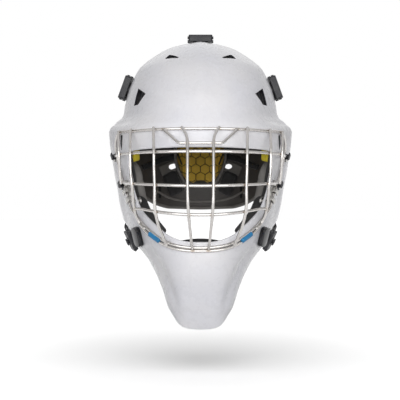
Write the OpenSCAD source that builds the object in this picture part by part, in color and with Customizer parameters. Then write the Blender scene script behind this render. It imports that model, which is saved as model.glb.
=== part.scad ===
// Ice hockey goalkeeper's mask: moulded shell, wire cage, swinging backplate and harness.
// Millimetres. X across, the mask faces -Y, Z up, origin at the middle of the head at ear height.
// Left and right are the wearer's: left is +X.

/* [Shell] */
// Width over the side flares at eye level
flare_width = 228; // [220:1:236]
// Width of the skull part at the ears
skull_width = 206; // [202:1:210]
// Height of the crown ridge above the origin
crown_height = 173.5; // [168:0.5:180]
// Reach of the brow in front of the origin
brow_reach = 120; // [116:0.5:124]
// Reach of the chin in front of the origin
chin_reach = 122; // [118:0.5:126]
// Drop of the chin tip below the origin
chin_drop = 189; // [182:0.5:196]
// Width of the chin guard halfway down
chin_width = 90; // [84:1:96]
// Thickness of the shell wall
wall = 3.5; // [2.5:0.1:4.5]
// Height of the soft centre ridge
ridge_height = 1.6; // [0:0.1:3]
// Depth of the hollows beside the chin
chin_hollow = 2.2; // [0:0.1:3]

/* [Face opening] */
// Width of the face opening at the brow
opening_width = 179; // [174:1:184]
// Height of the brow edge above the origin
opening_top = 33.5; // [29:0.5:36]
// Depth of the opening's lower edge below the origin
opening_bottom = 82.5; // [79:0.5:85]

/* [Cage] */
// Diameter of the cage wires
wire_d = 3.5; // [3:0.1:4]
// Gap between the cage frame and the shell
cage_gap = 0.3; // [0.2:0.1:1]
// Reach of the cage in front of the face opening
cage_bulge = 38; // [32:1:44]
// Height of the top rail above the origin
top_rail_z = 54.7; // [52:0.1:57]
// Height of the eye bar above the origin
eye_bar_z = 26.5; // [23:0.5:28]
// Drop of the middle bar below the origin
mid_bar_drop = 14.3; // [12:0.5:17]
// Drop of the lower bar below the origin
low_bar_drop = 48.5; // [46:0.5:51]
// Drop of the bottom rail below the origin
bottom_rail_drop = 88.5; // [86:0.5:91]
// Length of the coloured bands on the bottom rails
band_length = 18; // [12:1:24]

/* [Padding] */
// Thickness of the forehead pad
forehead_pad_t = 17; // [12:1:20]
// Thickness of the crown and temple pads
crown_pad_t = 15; // [10:1:18]
// Thickness of the jaw pads
jaw_pad_t = 17; // [12:1:19]
// Thickness of the hook-and-loop fixing behind each pad
pad_gap = 1; // [0.6:0.1:1.5]

/* [Harness] */
// Length of the strap clips across the strap
clip_length = 31; // [28:1:34]
// Width of the strap clips along the strap
clip_width = 23; // [20:1:26]
// Thickness of the strap clips
clip_thick = 8.5; // [7:0.5:10]
// Radius of the clips' pivot studs
stud_r = 2.5; // [2:0.1:3]
// Running clearance of the clips on their studs
stud_clearance = 0.05; // [0.02:0.01:0.1]
// Width of the straps
strap_width = 22; // [18:1:25]
// Thickness of the straps
strap_t = 2; // [1.5:0.1:2.5]

/* [Backplate] */
// Reach of the backplate behind the origin
backplate_reach = 116; // [112:1:120]
// Half width of the form that the backplate follows
backplate_half = 90; // [87:1:93]
// Thickness of the backplate
backplate_t = 3; // [2.5:0.1:3.5]
// Width of the nape pad at its top
nape_pad_width = 66; // [60:1:72]
// Thickness of the nape pad
nape_pad_t = 9; // [6:1:12]

/* [Chin cup] */
// Width of the chin cup
cup_width = 62; // [56:1:66]
// Depth of the chin cup from front to back
cup_length = 44; // [40:1:48]
// Radius of the cup's snap studs
snap_r = 4; // [3.5:0.1:4.5]

/* [Hidden] */

flare_half = flare_width / 2;
skull_half = skull_width / 2;
chin_half = chin_width / 2;
opening_half = opening_width / 2;
wire_r = wire_d / 2;
weld_sink = 0.5;
seat = 0.2;

shell_white = [0.93, 0.93, 0.95];
wire_steel = [0.72, 0.70, 0.68];
clip_black = [0.12, 0.12, 0.14];
plate_grey = [0.25, 0.24, 0.23];
foam_grey = [0.44, 0.43, 0.41];
foam_dark = [0.22, 0.22, 0.23];
foam_yellow = [0.66, 0.60, 0.16];
webbing_black = [0.1, 0.1, 0.1];
band_blue = [0.16, 0.5, 0.74];

// Smooth curve through rows of [key, value], with no overshoot between the rows
function row_before(rows, key, i = 0) =
  (i >= len(rows) - 2 || key < rows[i + 1][0]) ? i : row_before(rows, key, i + 1);
function rise(rows, i) = (rows[i + 1][1] - rows[i][1]) / (rows[i + 1][0] - rows[i][0]);
function slope_at(rows, i) =
  i == 0 ? rise(rows, 0) :
  i == len(rows) - 1 ? rise(rows, i - 1) :
  let(a = rise(rows, i - 1), b = rise(rows, i)) (a * b <= 0 ? 0 : 2 * a * b / (a + b));
function curve(rows, key) =
  let(k = min(max(key, rows[0][0]), rows[len(rows) - 1][0]), i = row_before(rows, k))
  let(h = rows[i + 1][0] - rows[i][0], t = (k - rows[i][0]) / h)
  rows[i][1] * (2 * t * t * t - 3 * t * t + 1) + slope_at(rows, i) * h * (t * t * t - 2 * t * t + t)
  + rows[i + 1][1] * (3 * t * t - 2 * t * t * t) + slope_at(rows, i + 1) * h * (t * t * t - t * t);
function ease(t) = let(s = min(1, max(0, t))) s * s * (3 - 2 * s);
function unit(v) = v / norm(v);
function mix(a, b, t) = a + (b - a) * t;

// Point at share s of the way along a list of points, on a smooth curve through them
// a list that ends on the middle plane is carried on by its own mirror image
function across(p) = [for (k = [0:len(p) - 1]) k == 0 ? -p[0] : p[k]];
function spline_at(points, s) =
  let(n = len(points), i = min(n - 2, max(0, floor(s))), t = s - i)
  let(b = points[i], c = points[i + 1])
  let(a = i > 0 ? points[i - 1] : (b[0] == 0 && c[0] != 0) ? across(c) : 2 * b - c)
  let(d = i < n - 2 ? points[i + 2] : (c[0] == 0 && b[0] != 0) ? across(b) : 2 * c - b)
  0.5 * (2 * b + (c - a) * t + (2 * a - 5 * b + 4 * c - d) * t * t + (3 * b - a - 3 * c + d) * t * t * t);
function spline(points, steps, closed = false) =
  [for (i = [0:(closed ? steps - 1 : steps)]) spline_at(points, i * (len(points) - 1) / steps)];

// The shell's outer form, level by level: heights as shares of the crown height and the chin drop
side_rows = [
  [-chin_drop, chin_half * 0.62], [-0.915 * chin_drop, chin_half * 0.77],
  [-0.863 * chin_drop, chin_half * 0.88], [-0.757 * chin_drop, chin_half * 1.02],
  [-0.654 * chin_drop, chin_half * 1.21], [-0.565 * chin_drop, chin_half * 1.43],
  [-0.487 * chin_drop, chin_half * 1.72], [-0.423 * chin_drop, skull_half * 0.84],
  [-0.344 * chin_drop, skull_half * 0.905], [-0.265 * chin_drop, skull_half * 0.951],
  [-0.153 * chin_drop, skull_half * 0.981], [0, skull_half],
  [0.392 * crown_height, skull_half * 0.985], [0.438 * crown_height, skull_half * 0.966],
  [0.525 * crown_height, skull_half * 0.947], [0.63 * crown_height, skull_half * 0.9],
  [0.72 * crown_height, skull_half * 0.84], [0.79 * crown_height, skull_half * 0.777],
  [0.835 * crown_height, skull_half * 0.7], [0.9 * crown_height, skull_half * 0.546],
  [0.942 * crown_height, skull_half * 0.42], [0.975 * crown_height, skull_half * 0.24],
  [crown_height, 0.5]];
flare_rows = let(f = flare_half - skull_half) [
  [-0.265 * chin_drop, 0], [-0.063 * chin_drop, 0.22 * f], [0.13 * crown_height, 0.68 * f],
  [0.242 * crown_height, 1.05 * f], [0.317 * crown_height, 1.15 * f], [0.345 * crown_height, 0.9 * f],
  [0.38 * crown_height, 0.3 * f], [0.415 * crown_height, 0]];
front_rows = [
  [-chin_drop, 0.795 * chin_reach], [-0.925 * chin_drop, 0.845 * chin_reach],
  [-0.794 * chin_drop, 0.918 * chin_reach], [-0.635 * chin_drop, 0.985 * chin_reach],
  [-0.5 * chin_drop, chin_reach], [-0.4 * chin_drop, 0.998 * chin_reach],
  [0, brow_reach], [0.19 * crown_height, 0.997 * brow_reach],
  [0.345 * crown_height, 0.975 * brow_reach], [0.43 * crown_height, 0.94 * brow_reach],
  [0.55 * crown_height, 0.88 * brow_reach], [0.63 * crown_height, 0.815 * brow_reach],
  [0.75 * crown_height, 0.68 * brow_reach], [0.835 * crown_height, 0.535 * brow_reach],
  [0.91 * crown_height, 0.35 * brow_reach], [0.965 * crown_height, 0.15 * brow_reach],
  [crown_height, -0.125 * brow_reach]];
rear_reach = 118;
rear_rows = [
  [-chin_drop, 0.4 * rear_reach], [-0.5 * chin_drop, 0.8 * rear_reach], [0, rear_reach],
  [0.6 * crown_height, 0.96 * rear_reach], [0.78 * crown_height, 0.88 * rear_reach],
  [0.88 * crown_height, 0.76 * rear_reach], [0.95 * crown_height, 0.58 * rear_reach],
  [0.985 * crown_height, 0.38 * rear_reach], [crown_height, 0.14 * rear_reach]];
widest_rows = [
  [-chin_drop, -85], [-0.925 * chin_drop, -72], [-0.794 * chin_drop, -52], [-0.635 * chin_drop, -24],
  [-0.5 * chin_drop, 2], [-0.344 * chin_drop, 12], [0, 22], [0.6 * crown_height, 20],
  [crown_height, 15]];
square_rows = [
  [-chin_drop, 2.7], [-0.5 * chin_drop, 2.5], [0, 2.4], [0.32 * crown_height, 2.5],
  [0.45 * crown_height, 2.2], [0.8 * crown_height, 2.05], [crown_height, 2]];

function flare_fade(y) = 1 - 0.75 * ease((y + 15) / 70);
function half_width(y, z) = curve(side_rows, z) + curve(flare_rows, z) * flare_fade(y);
function form(p) =
  let(mid = curve(widest_rows, p.z), n = curve(square_rows, p.z))
  let(depth = p.y < mid ? (mid - p.y) / (mid + curve(front_rows, p.z))
                        : (p.y - mid) / (curve(rear_rows, p.z) - mid))
  (p.z >= crown_height || p.z < -1.2 * chin_drop) ? 9 :
  pow(abs(p.x) / half_width(p.y, p.z), n) + pow(abs(depth), n);
function cast(d, lo = 40, hi = 280, i = 15) =
  let(m = (lo + hi) / 2) i == 0 ? d * m : form(d * m) < 1 ? cast(d, m, hi, i - 1) : cast(d, lo, m, i - 1);

// Soft relief on the form: a centre ridge on the dome, and hollows beside the chin
function relief(p) =
  ridge_height * exp(-pow(p.x / 8, 2)) * ease((p.z - 60) / 50) * ease((crown_height + 6 - p.z) / 12)
  - chin_hollow * exp(-pow((abs(p.x) - chin_half * 0.72 - max(0, p.z + 0.62 * chin_drop) * 0.5) / 7, 2))
    * ease((-p.z - 0.42 * chin_drop) / 25) * ease((p.z + 0.95 * chin_drop) / 30);
function outer_point(target) = let(d = unit(target), p = cast(d)) p + d * relief(p);
function normal_at(target, e = 1.5) =
  let(d = unit(target))
  let(a = unit(cross(d, abs(d.z) < 0.9 ? [0, 0, 1] : [0, 1, 0])), b = cross(a, d))
  unit(cross(outer_point(d * 100 + a * e) - outer_point(d * 100 - a * e),
             outer_point(d * 100 - b * e) - outer_point(d * 100 + b * e)));
// Front face of the form at a place in the front view
function front_y(x, z) =
  let(mid = curve(widest_rows, z), n = curve(square_rows, z), w = half_width(-60, z))
  mid - (mid + curve(front_rows, z)) * pow(max(0, 1 - pow(min(1, abs(x) / w), n)), 1 / n);
// Side face of the form at a place in the side view
function side_x(y, z) =
  let(mid = curve(widest_rows, z), n = curve(square_rows, z))
  let(d = y < mid ? (mid - y) / (mid + curve(front_rows, z)) : (y - mid) / (curve(rear_rows, z) - mid))
  half_width(y, z) * pow(max(0, 1 - pow(min(1, d), n)), 1 / n);

// Matched points of the face opening [x, z] and of the rear and jaw edge [x, y, z], top to bottom
opening_edge = let(w = opening_half, t = opening_top, b = opening_bottom) [
  [0, t], [0.3 * w, t - 0.2], [0.62 * w, t - 1.4], [0.89 * w, t - 4], [0.993 * w, t - 7.5],
  [w, t - 18], [0.965 * w, t - 37], [0.938 * w, t - 53], [0.838 * w, -0.505 * b], [0.693 * w, -0.682 * b],
  [0.56 * w, -0.806 * b], [0.45 * w, -0.898 * b], [0.3 * w, -0.964 * b], [0.15 * w, -0.994 * b], [0, -b]];
rear_edge = let(h = crown_height, w = skull_half, c = chin_drop) [
  [0, 70, 0.93 * h], [0.34 * w, 66, 0.88 * h], [0.62 * w, 58, 0.77 * h], [0.83 * w, 50, 0.62 * h],
  [0.95 * w, 44, 0.46 * h], [w, 38, 0.28 * h], [w, 28, 0.08 * h], [w, 20, -0.08 * c],
  [0.95 * w, 16, -0.24 * c], [0.9 * w, 12, -0.35 * c], [0.78 * w, 0, -0.465 * c],
  [0.6 * w, -30, -0.575 * c], [0.455 * w, -62, -0.74 * c], [0.275 * w, -90, -0.935 * c],
  [0, -0.8 * chin_reach, -c]];
last_key = len(opening_edge) - 1;
function opening_dir(s) = let(e = spline_at(opening_edge, s)) unit([e[0], front_y(e[0], e[1]), e[1]]);
function rear_dir(s) = unit(spline_at(rear_edge, s));
function slerp(a, b, t) = let(w = acos(a * b)) (sin((1 - t) * w) * a + sin(t * w) * b) / sin(w);
// Place on the shell: s runs down one side from the brow to the chin, t from the opening to the rear
function place(s, t) = outer_point(slerp(opening_dir(s), rear_dir(s), t));
function grid_normal(s, t) =
  let(a = place(min(last_key, s + 0.15), t) - place(max(0, s - 0.15), t))
  let(b = place(s, min(1, t + 0.03)) - place(s, max(0, t - 0.03)))
  let(n = cross(a, b)) unit(n) * (n * place(s, t) > 0 ? 1 : -1);

// Closed skin between two grids of points with equal rows; ring closes the rows on themselves
module skin(outer, inner, ring = false) {
  rows = len(outer);
  cols = len(outer[0]);
  span = ring ? rows : rows - 1;
  base = rows * cols;
  function at(i, j) = (i % rows) * cols + j;
  points = concat([for (row = outer) for (p = row) p], [for (row = inner) for (p = row) p]);
  faces = concat(
    [for (i = [0:span - 1]) for (j = [0:cols - 2])
      each [[at(i, j), at(i + 1, j + 1), at(i + 1, j)], [at(i, j), at(i, j + 1), at(i + 1, j + 1)]]],
    [for (i = [0:span - 1]) for (j = [0:cols - 2])
      each [[base + at(i, j), base + at(i + 1, j), base + at(i + 1, j + 1)],
            [base + at(i, j), base + at(i + 1, j + 1), base + at(i, j + 1)]]],
    [for (i = [0:span - 1]) for (e = [[0, 1], [cols - 1, -1]])
      let(a = at(i, e[0]), b = at(i + 1, e[0]))
      each (e[1] > 0 ? [[a, b, base + b], [a, base + b, base + a]]
                     : [[a, base + b, b], [a, base + a, base + b]])],
    ring ? [] : [for (j = [0:cols - 2]) for (e = [[0, -1], [rows - 1, 1]])
      let(a = at(e[0], j), b = at(e[0], j + 1))
      each (e[1] > 0 ? [[a, b, base + b], [a, base + b, base + a]]
                     : [[a, base + b, b], [a, base + a, base + b]])]);
  polyhedron(points, faces, convexity = 8);
}

// Round or flat bar swept along a path; up gives the direction that the section keeps
function frame_at(path, i, closed, up) =
  let(n = len(path))
  let(a = path[closed ? (i + n - 1) % n : max(0, i - 1)])
  let(b = path[closed ? (i + 1) % n : min(n - 1, i + 1)])
  let(t = unit(b - a), s = unit(cross(up, t))) [s, cross(t, s)];
module sweep(path, section, up = [0, 0, 1], closed = false) {
  n = len(path);
  m = len(section);
  points = [for (i = [0:n - 1]) let(f = frame_at(path, i, closed, is_list(up[0]) ? up[i] : up))
    for (q = section) path[i] + q[0] * f[0] + q[1] * f[1]];
  faces = concat(
    [for (i = [0:(closed ? n - 1 : n - 2)]) for (j = [0:m - 1])
      let(a = i * m + j, b = i * m + (j + 1) % m, next = ((i + 1) % n) * m)
      let(c = next + (j + 1) % m, d = next + j)
      each [[a, c, b], [a, d, c]]],
    closed ? [] : [for (j = [1:m - 2]) let(last = (n - 1) * m)
      each [[0, j, j + 1], [last, last + j + 1, last + j]]]);
  polyhedron(points, faces, convexity = 8);
}
function round_section(r, sides = 8) = [for (k = [0:sides - 1])
  let(a = 360 * (k + 0.5) / sides) r * [cos(a), sin(a)]];
function flat_section(w, t) = [[-w / 2, -t / 2], [w / 2, -t / 2], [w / 2, t / 2], [-w / 2, t / 2]];

// Children stand on the shell where the ray to the target leaves it: +Z outwards, +Y up the surface
module on_shell(target, up = [0, 0, 1], sink = 0) {
  p = outer_point(target);
  n = normal_at(target);
  x = unit(cross(up, n));
  y = cross(n, x);
  q = p - n * sink;
  multmatrix([[x.x, y.x, n.x, q.x], [x.y, y.y, n.y, q.y], [x.z, y.z, n.z, q.z]]) children();
}
module both_sides() {
  children();
  mirror([1, 0, 0]) children();
}
module rounded_block(size, r, height) {
  for (sx = [-1, 1]) for (sy = [-1, 1])
    translate([sx * (size.x / 2 - r), sy * (size.y / 2 - r), 0]) cylinder(h = height, r = r, $fn = 32);
  translate([-size.x / 2 + r, -size.y / 2, 0]) cube([size.x - 2 * r, size.y, height]);
  translate([-size.x / 2, -size.y / 2 + r, 0]) cube([size.x, size.y - 2 * r, height]);
}

// Shell
shell_steps = 30;
shell_cols = 15;
function shell_half_grid() = [for (i = [0:shell_steps]) [for (j = [0:shell_cols])
  place(i * last_key / shell_steps, j / shell_cols)]];
function mirrored_x(p) = [-p.x, p.y, p.z];
function full_ring(half) = concat(half,
  [for (i = [len(half) - 2:-1:1]) [for (p = half[i]) mirrored_x(p)]]);
function wall_normals(g) = let(n = len(g), m = len(g[0]))
  [for (i = [0:n - 1]) [for (j = [0:m - 1])
    unit(cross(g[(i + 1) % n][j] - g[(i + n - 1) % n][j], g[i][min(m - 1, j + 1)] - g[i][max(0, j - 1)]))]];
crown_vent = [0.33 * skull_half, -48, 0.847 * crown_height];
side_vent = [0.718 * skull_half, -58, 0.565 * crown_height];
side_vent_outline = [[10.2, 10.2], [-12.3, 3.6], [-1.5, -10.6], [4.6, -10.6]];
flange_slots = [[[97.5, 47], [99, 33], 1.5], [[104, 49], [104.8, 43], 1.3]];

module screw_hole(r = screw_hole_r) translate([0, 0, -12]) cylinder(h = 24, r = r, $fn = 24);

module shell() {
  ring = full_ring(shell_half_grid());
  normals = wall_normals(ring);
  inner = [for (i = [0:len(ring) - 1]) [for (j = [0:shell_cols]) ring[i][j] - wall * normals[i][j]]];
  color(shell_white) difference() {
    skin(ring, inner, true);
    both_sides() {
      on_shell(crown_vent) hull() for (q = [[-8, -2.5, 1], [7, 2.5, 1.6], [8, -2.5, 1]])
        translate([q.x, q.y, -12]) cylinder(h = 24, r = q[2], $fn = 16);
      on_shell(side_vent) hull() for (q = side_vent_outline)
        translate([q.x, q.y, -12]) cylinder(h = 24, r = 0.8, $fn = 16);
      for (slot = flange_slots) hull() for (q = [slot[0], slot[1]])
        translate([q[0], front_y(q[0], q[1]) + 12, q[1]]) rotate([90, 0, 0])
          cylinder(h = 24, r = slot[2], $fn = 16);
      at_side_clip() screw_hole();
      at_jaw_clip() screw_hole();
      at_snap() cylinder(h = 60, r = screw_hole_r, $fn = 24);
    }
    at_top_clip() screw_hole();
    at_cage_screws() screw_hole();
  }
}

// Point of the shell's outer face lifted off it by a distance
function lifted(target, off) = outer_point(target) + off * normal_at(target);
function on_front(x, z) = [x, front_y(x, z), z];
function on_side(y, z) = [side_x(y, z), y, z];
function whole(half) = concat([for (i = [len(half) - 1:-1:1]) mirrored_x(half[i])], half);
function radial(path) = [for (p = path) unit(p)];
module wire(path, closed = false) sweep(path, round_section(wire_r), radial(path), closed);

// Cage: the frame lies round the opening on the shell, and the bars bulge out in front of the face
frame_lift = cage_gap + wire_r;
frame_corner = [-68, top_rail_z - 2.4];
frame_side = [[-55, 43], [-45, eye_bar_z - 1], [-50, 6], [-58, 4 - mid_bar_drop], [-67, -26]];
frame_keys = concat(
  [for (q = [[0, 0], [30, 0.2], [58, 0.8], [82, 1.7]]) on_front(q[0], top_rail_z - q[1])],
  [on_side(frame_corner[0], frame_corner[1])],
  [for (q = frame_side) on_side(q[0], q[1])],
  [for (q = [[84.5, -39], [76.5, -50.5], [68, -60.5], [57, -70.5], [45, -78.8], [30, -85.2]])
    on_front(q[0], q[1])],
  [for (x = [14, 0]) on_front(x, -bottom_rail_drop + (x / 14) * 0.6)]);
frame_half = [for (p = frame_keys) lifted(p, frame_lift)];
lower_keys = [for (q = [[0, 3.7], [15, 3.3], [31, 0.5], [46, -5.6], [58.5, -14.3], [66, -20.8], [71, -25.5]])
  lifted(on_front(q[0], -bottom_rail_drop - q[1]), frame_lift)];
bulge_rows = [[-bottom_rail_drop, 0], [-70, 0.52], [-low_bar_drop, 0.88], [-mid_bar_drop, 1],
  [eye_bar_z, 0.82], [41, 0.5], [top_rail_z, 0]];
reach_rows = [[-bottom_rail_drop, 60], [-70, 66], [-low_bar_drop, 78], [-mid_bar_drop, 100],
  [eye_bar_z, 108], [41, 106], [top_rail_z, 101]];
function cage_y(x, z) = front_y(x, z) - frame_lift
  - cage_bulge * curve(bulge_rows, z) * sqrt(max(0, 1 - pow(abs(x) / curve(reach_rows, z), 8)));
function cage_point(x, z, off = 0) =
  let(dx = (cage_y(x + 1, z) - cage_y(x - 1, z)) / 2, dz = (cage_y(x, z + 1) - cage_y(x, z - 1)) / 2)
  [x, cage_y(x, z), z] + off * unit([dx, -1, dz]);
weld_step = wire_d - weld_sink;
// End of a bar where it is welded on the outside of the frame
function frame_weld(y, z) = lifted(on_side(y, z), frame_lift + weld_step);

module cage_frame() color(wire_steel) wire(spline(concat(frame_half,
  [for (i = [len(frame_half) - 2:-1:0]) mirrored_x(frame_half[i])]), 70, true), true);
module cage_lower_rail() color(wire_steel) wire(spline(whole(lower_keys), 24));
eye_half = concat([for (x = [0, 22, 43, 62, 78, 90, 99]) cage_point(x, eye_bar_z - x * x / 6000)],
  [frame_weld(-46, eye_bar_z - 2)]);
mid_half = concat([for (x = [0, 22, 43, 61, 75, 86]) cage_point(x, x * x / 2200 - mid_bar_drop)],
  [frame_weld(-60, 5 - mid_bar_drop)]);
low_half = [for (q = [[0, 0], [22, 0.6], [42, 2.4], [58, 4.6], [70, 6.6], [78, 8.2]])
  cage_point(q[0], q[1] - low_bar_drop, q[0] > 75 ? weld_step : 0)];
module cage_crossbars() color(wire_steel) {
  for (half = [eye_half, mid_half, low_half]) wire(spline(whole(half), 26));
}
brow_half = [[0, 36.6], [20, 36.6], [26.5, 37.4], [35, 45], [44.5, top_rail_z - 0.6]];
module cage_brow_wire() color(wire_steel)
  wire(spline(whole([for (q = brow_half) cage_point(q[0], q[1])]), 20));
// Front-view places of the uprights, from the top rail down
upright_rows = [
  [[98.5, top_rail_z - 2.4], [98, 40], [97, eye_bar_z], [96, 5], [94.5, 4 - mid_bar_drop]],
  [[83.5, top_rail_z - 1.6], [82.3, 30], [81.5, 4], [79.5, -mid_bar_drop], [77, -41], [71.5, -57], [65, -64]],
  [[56, top_rail_z - 0.7], [54.2, 30], [53.6, 10], [52.7, -mid_bar_drop], [52.3, -40], [48.5, -59],
    [44, -71.5], [39.3, -84]],
  [[22.2, top_rail_z - 0.1], [18, 46.5], [15.6, 37.6], [15.1, 20], [15, -mid_bar_drop], [14.1, -43],
    [11.4, -72], [9.6, 0.6 - bottom_rail_drop]]];
module cage_uprights() color(wire_steel) both_sides() {
  for (row = upright_rows) wire(spline([for (q = row) cage_point(q[0], q[1], weld_step)], 14));
}
band_t = 0.9;
band_at = 3.7;
rail_step = 17;
module cage_bands() color(band_blue) both_sides() {
  path = [for (k = [-0.5:0.125:0.5])
    let(p = spline_at(lower_keys, band_at + k * band_length / rail_step)) p + (band_t - 0.1) * unit(p)];
  sweep(path, round_section(wire_r + band_t, 10), radial(path));
}

// Clips that hold the cage frame
hook_places = [[-45, eye_bar_z - 1, [0, 10, 20]], [-58, 4 - mid_bar_drop, [8, 10, 26]]];
hook_wide = 7;
screw_r = 2;
screw_hole_r = 2.2;
nut_r = 5;
nut_t = 2;
wire_top = cage_gap + wire_d + 0.2;
bars_top = wire_top + weld_step + 0.4;
hook_tail = 14;
steel_clip_at = on_side(-67, -26);
steel_clip_up = [14, 16, 27];
steel_clip_x = -8;
steel_screw_y = 14;
steel_t = 1.2;
module at_hook(q) on_shell(on_side(q[0], q[1]), q[2]) children();
module at_steel_clip() on_shell(steel_clip_at, steel_clip_up) children();
module cage_hook_clips() color(clip_black) both_sides() for (q = hook_places) at_hook(q) difference() {
  union() {
    translate([-wire_r - 1, -hook_wide / 2, seat]) cube([wire_d + 3.4, hook_wide, bars_top + 1.6 - seat]);
    translate([0, -hook_wide / 2, seat]) cube([hook_tail - hook_wide / 2, hook_wide, 2.2]);
    translate([hook_tail - hook_wide / 2, 0, seat]) cylinder(h = 2.2, r = hook_wide / 2, $fn = 32);
  }
  translate([-10, -hook_wide, -1]) cube([10 + wire_r + 0.9, 2 * hook_wide, bars_top + 1]);
  translate([hook_tail - hook_wide / 2, 0, -1]) cylinder(h = 8, r = screw_hole_r, $fn = 32);
}
module cage_side_clips() color(wire_steel) both_sides() at_steel_clip() difference() {
  union() {
    translate([steel_clip_x - 4, -steel_screw_y, seat + 0.5]) cube([8, 2 * steel_screw_y, steel_t]);
    for (y = [-1, 1]) {
      translate([steel_clip_x, y * steel_screw_y, seat + 0.5]) cylinder(h = steel_t, r = 4, $fn = 32);
      translate([steel_clip_x + 2.5, y * 6.5 - 3, seat + 0.5]) cube([steel_t, 6, wire_top + steel_t]);
      translate([steel_clip_x + 2.5, y * 6.5 - 3, wire_top + seat + 0.5]) cube([9.5, 6, steel_t]);
    }
  }
  for (y = [-1, 1]) translate([steel_clip_x, y * steel_screw_y, -1])
    cylinder(h = 8, r = screw_hole_r, $fn = 32);
}
module pan_screw(under, depth) {
  translate([0, 0, under + seat]) cylinder(h = 1, r = 3.6, $fn = 32);
  translate([0, 0, under + seat + 1]) cylinder(h = 0.9, r1 = 3.6, r2 = 2.2, $fn = 32);
  translate([0, 0, -depth]) cylinder(h = depth + under + seat, r = screw_r, $fn = 32);
}
nut_drop = 1.5;
module tee_nut() translate([0, 0, -wall - nut_drop - nut_t]) difference() {
  cylinder(h = nut_t, r = nut_r, $fn = 32);
  translate([0, 0, -1]) cylinder(h = nut_t + 2, r = screw_r + 0.05, $fn = 32);
}
module at_cage_screws() both_sides() {
  for (q = hook_places) at_hook(q) translate([hook_tail - hook_wide / 2, 0, 0]) children();
  at_steel_clip() for (y = [-1, 1]) translate([steel_clip_x, y * steel_screw_y, -0.6]) children();
}
module cage_clip_screws() color(wire_steel) at_cage_screws() pan_screw(2.6, wall + nut_drop + nut_t + 0.6);
module cage_clip_nuts() color(wire_steel) at_cage_screws() tee_nut();

// Strap clips: +X of each clip points back along its strap
base_h = 2;
stud_head_h = 1.6;
clip_lift = base_h + seat + 0.1;
top_clip_at = [0, 38, 0.99 * crown_height];
side_clip_at = on_side(30, 113);
jaw_clip_at = on_side(-45, -79.5);
jaw_clip_length = 25;
jaw_cap_at = on_side(-76, -75.5);
jaw_up = [0, -0.12, 0.99];
module at_top_clip() on_shell(top_clip_at, [-1, 0, 0], -seat) children();
module at_side_clip() on_shell(side_clip_at, [0, 0, 1], -seat) children();
module at_jaw_clip() on_shell(jaw_clip_at, jaw_up, -seat) children();
module strap_clip(length = clip_length, strap = strap_width) difference() {
  union() {
    translate([0, 0, clip_lift]) rounded_block([clip_width, length, 0], 2.5, clip_thick);
    for (s = [-1, 1]) translate([-clip_width / 4, s * length / 2, clip_lift + clip_thick * 0.62])
      rotate([90, 0, 0]) translate([0, 0, -1.4]) cylinder(h = 2.8, r = 1.9, $fn = 24);
    for (s = [-1, 1]) translate([clip_width / 4, s * length / 2, clip_lift + clip_thick * 0.3])
      rotate([90, 0, 0]) translate([0, 0, -1.4]) cylinder(h = 2.8, r = 2.1, $fn = 24);
  }
  translate([0, 0, -1]) cylinder(h = clip_lift + clip_thick + 4, r = stud_r + stud_clearance, $fn = 48);
  translate([0, 0, clip_lift + clip_thick - stud_head_h - 0.3]) cylinder(h = 9, r = 5.3, $fn = 48);
  translate([clip_width / 2 - 5.5, -strap / 2 - 0.6, clip_lift + 1.8])
    cube([9, strap + 1.2, strap_t + 1]);
}
module clip_base() {
  cylinder(h = base_h, r = 9, $fn = 48);
  translate([0, 0, base_h]) cylinder(h = clip_lift + clip_thick - stud_head_h - base_h, r = stud_r, $fn = 48);
  translate([0, 0, clip_lift + clip_thick - stud_head_h - 0.1]) cylinder(h = stud_head_h, r = 4.6, $fn = 48);
  shank = wall + nut_drop + nut_t + 1;
  translate([0, 0, -shank]) cylinder(h = shank, r = screw_r, $fn = 32);
}
module clip_bases() color(wire_steel) {
  at_top_clip() clip_base();
  both_sides() {
    at_side_clip() clip_base();
    at_jaw_clip() clip_base();
  }
}
module harness_nuts() color(wire_steel) {
  at_top_clip() tee_nut();
  both_sides() {
    at_side_clip() tee_nut();
    at_jaw_clip() tee_nut();
  }
}
module top_clip() color(clip_black) at_top_clip() strap_clip();
module side_clip() color(clip_black) at_side_clip() strap_clip();
module jaw_clip() color(clip_black) at_jaw_clip() strap_clip(jaw_clip_length, strap_width - 4);
module side_clip_left() side_clip();
module side_clip_right() mirror([1, 0, 0]) side_clip();
module jaw_clip_left() jaw_clip();
module jaw_clip_right() mirror([1, 0, 0]) jaw_clip();
module jaw_caps() color(clip_black) both_sides() on_shell(jaw_cap_at, jaw_up, -seat) difference() {
  rounded_block([15, 25, 0], 6, 6.5);
  translate([-20, 10.5, 4.5]) rotate([-35, 0, 0]) cube([40, 12, 8]);
  translate([-20, -10.5, 4.5]) rotate([35, 0, 0]) translate([0, -12, 0]) cube([40, 12, 8]);
}

// Padding: crowned blocks on the shell's inner face, between two shares of each way over the shell
function any_place(s, t) = s < 0 ? mirrored_x(place(-s, t)) : place(s, t);
function any_normal(s, t) = s < 0 ? mirrored_x(grid_normal(-s, t)) : grid_normal(s, t);
function crown(a, b) = 0.3 + 0.7 * pow(max(0, sin(180 * a)), 0.45) * pow(max(0, sin(180 * b)), 0.45);
module pad(s, t, depth, thick, n = 8, m = 6) {
  grid = [for (i = [0:n]) [for (j = [0:m])
    let(u = mix(s[0], s[1], i / n), v = mix(t[0], t[1], j / m)) [any_place(u, v), any_normal(u, v)]]];
  low = [for (row = grid) [for (q = row) q[0] - q[1] * depth]];
  high = [for (i = [0:n]) [for (j = [0:m])
    grid[i][j][0] - grid[i][j][1] * (depth + thick * crown(i / n, j / m))]];
  skin(low, high);
}
pad_depth = wall + pad_gap;
liner_t = 5.5;
module forehead_pad() color(foam_dark) pad([-2.5, 2.5], [0.02, 0.26], pad_depth, forehead_pad_t, 16, 6);
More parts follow.
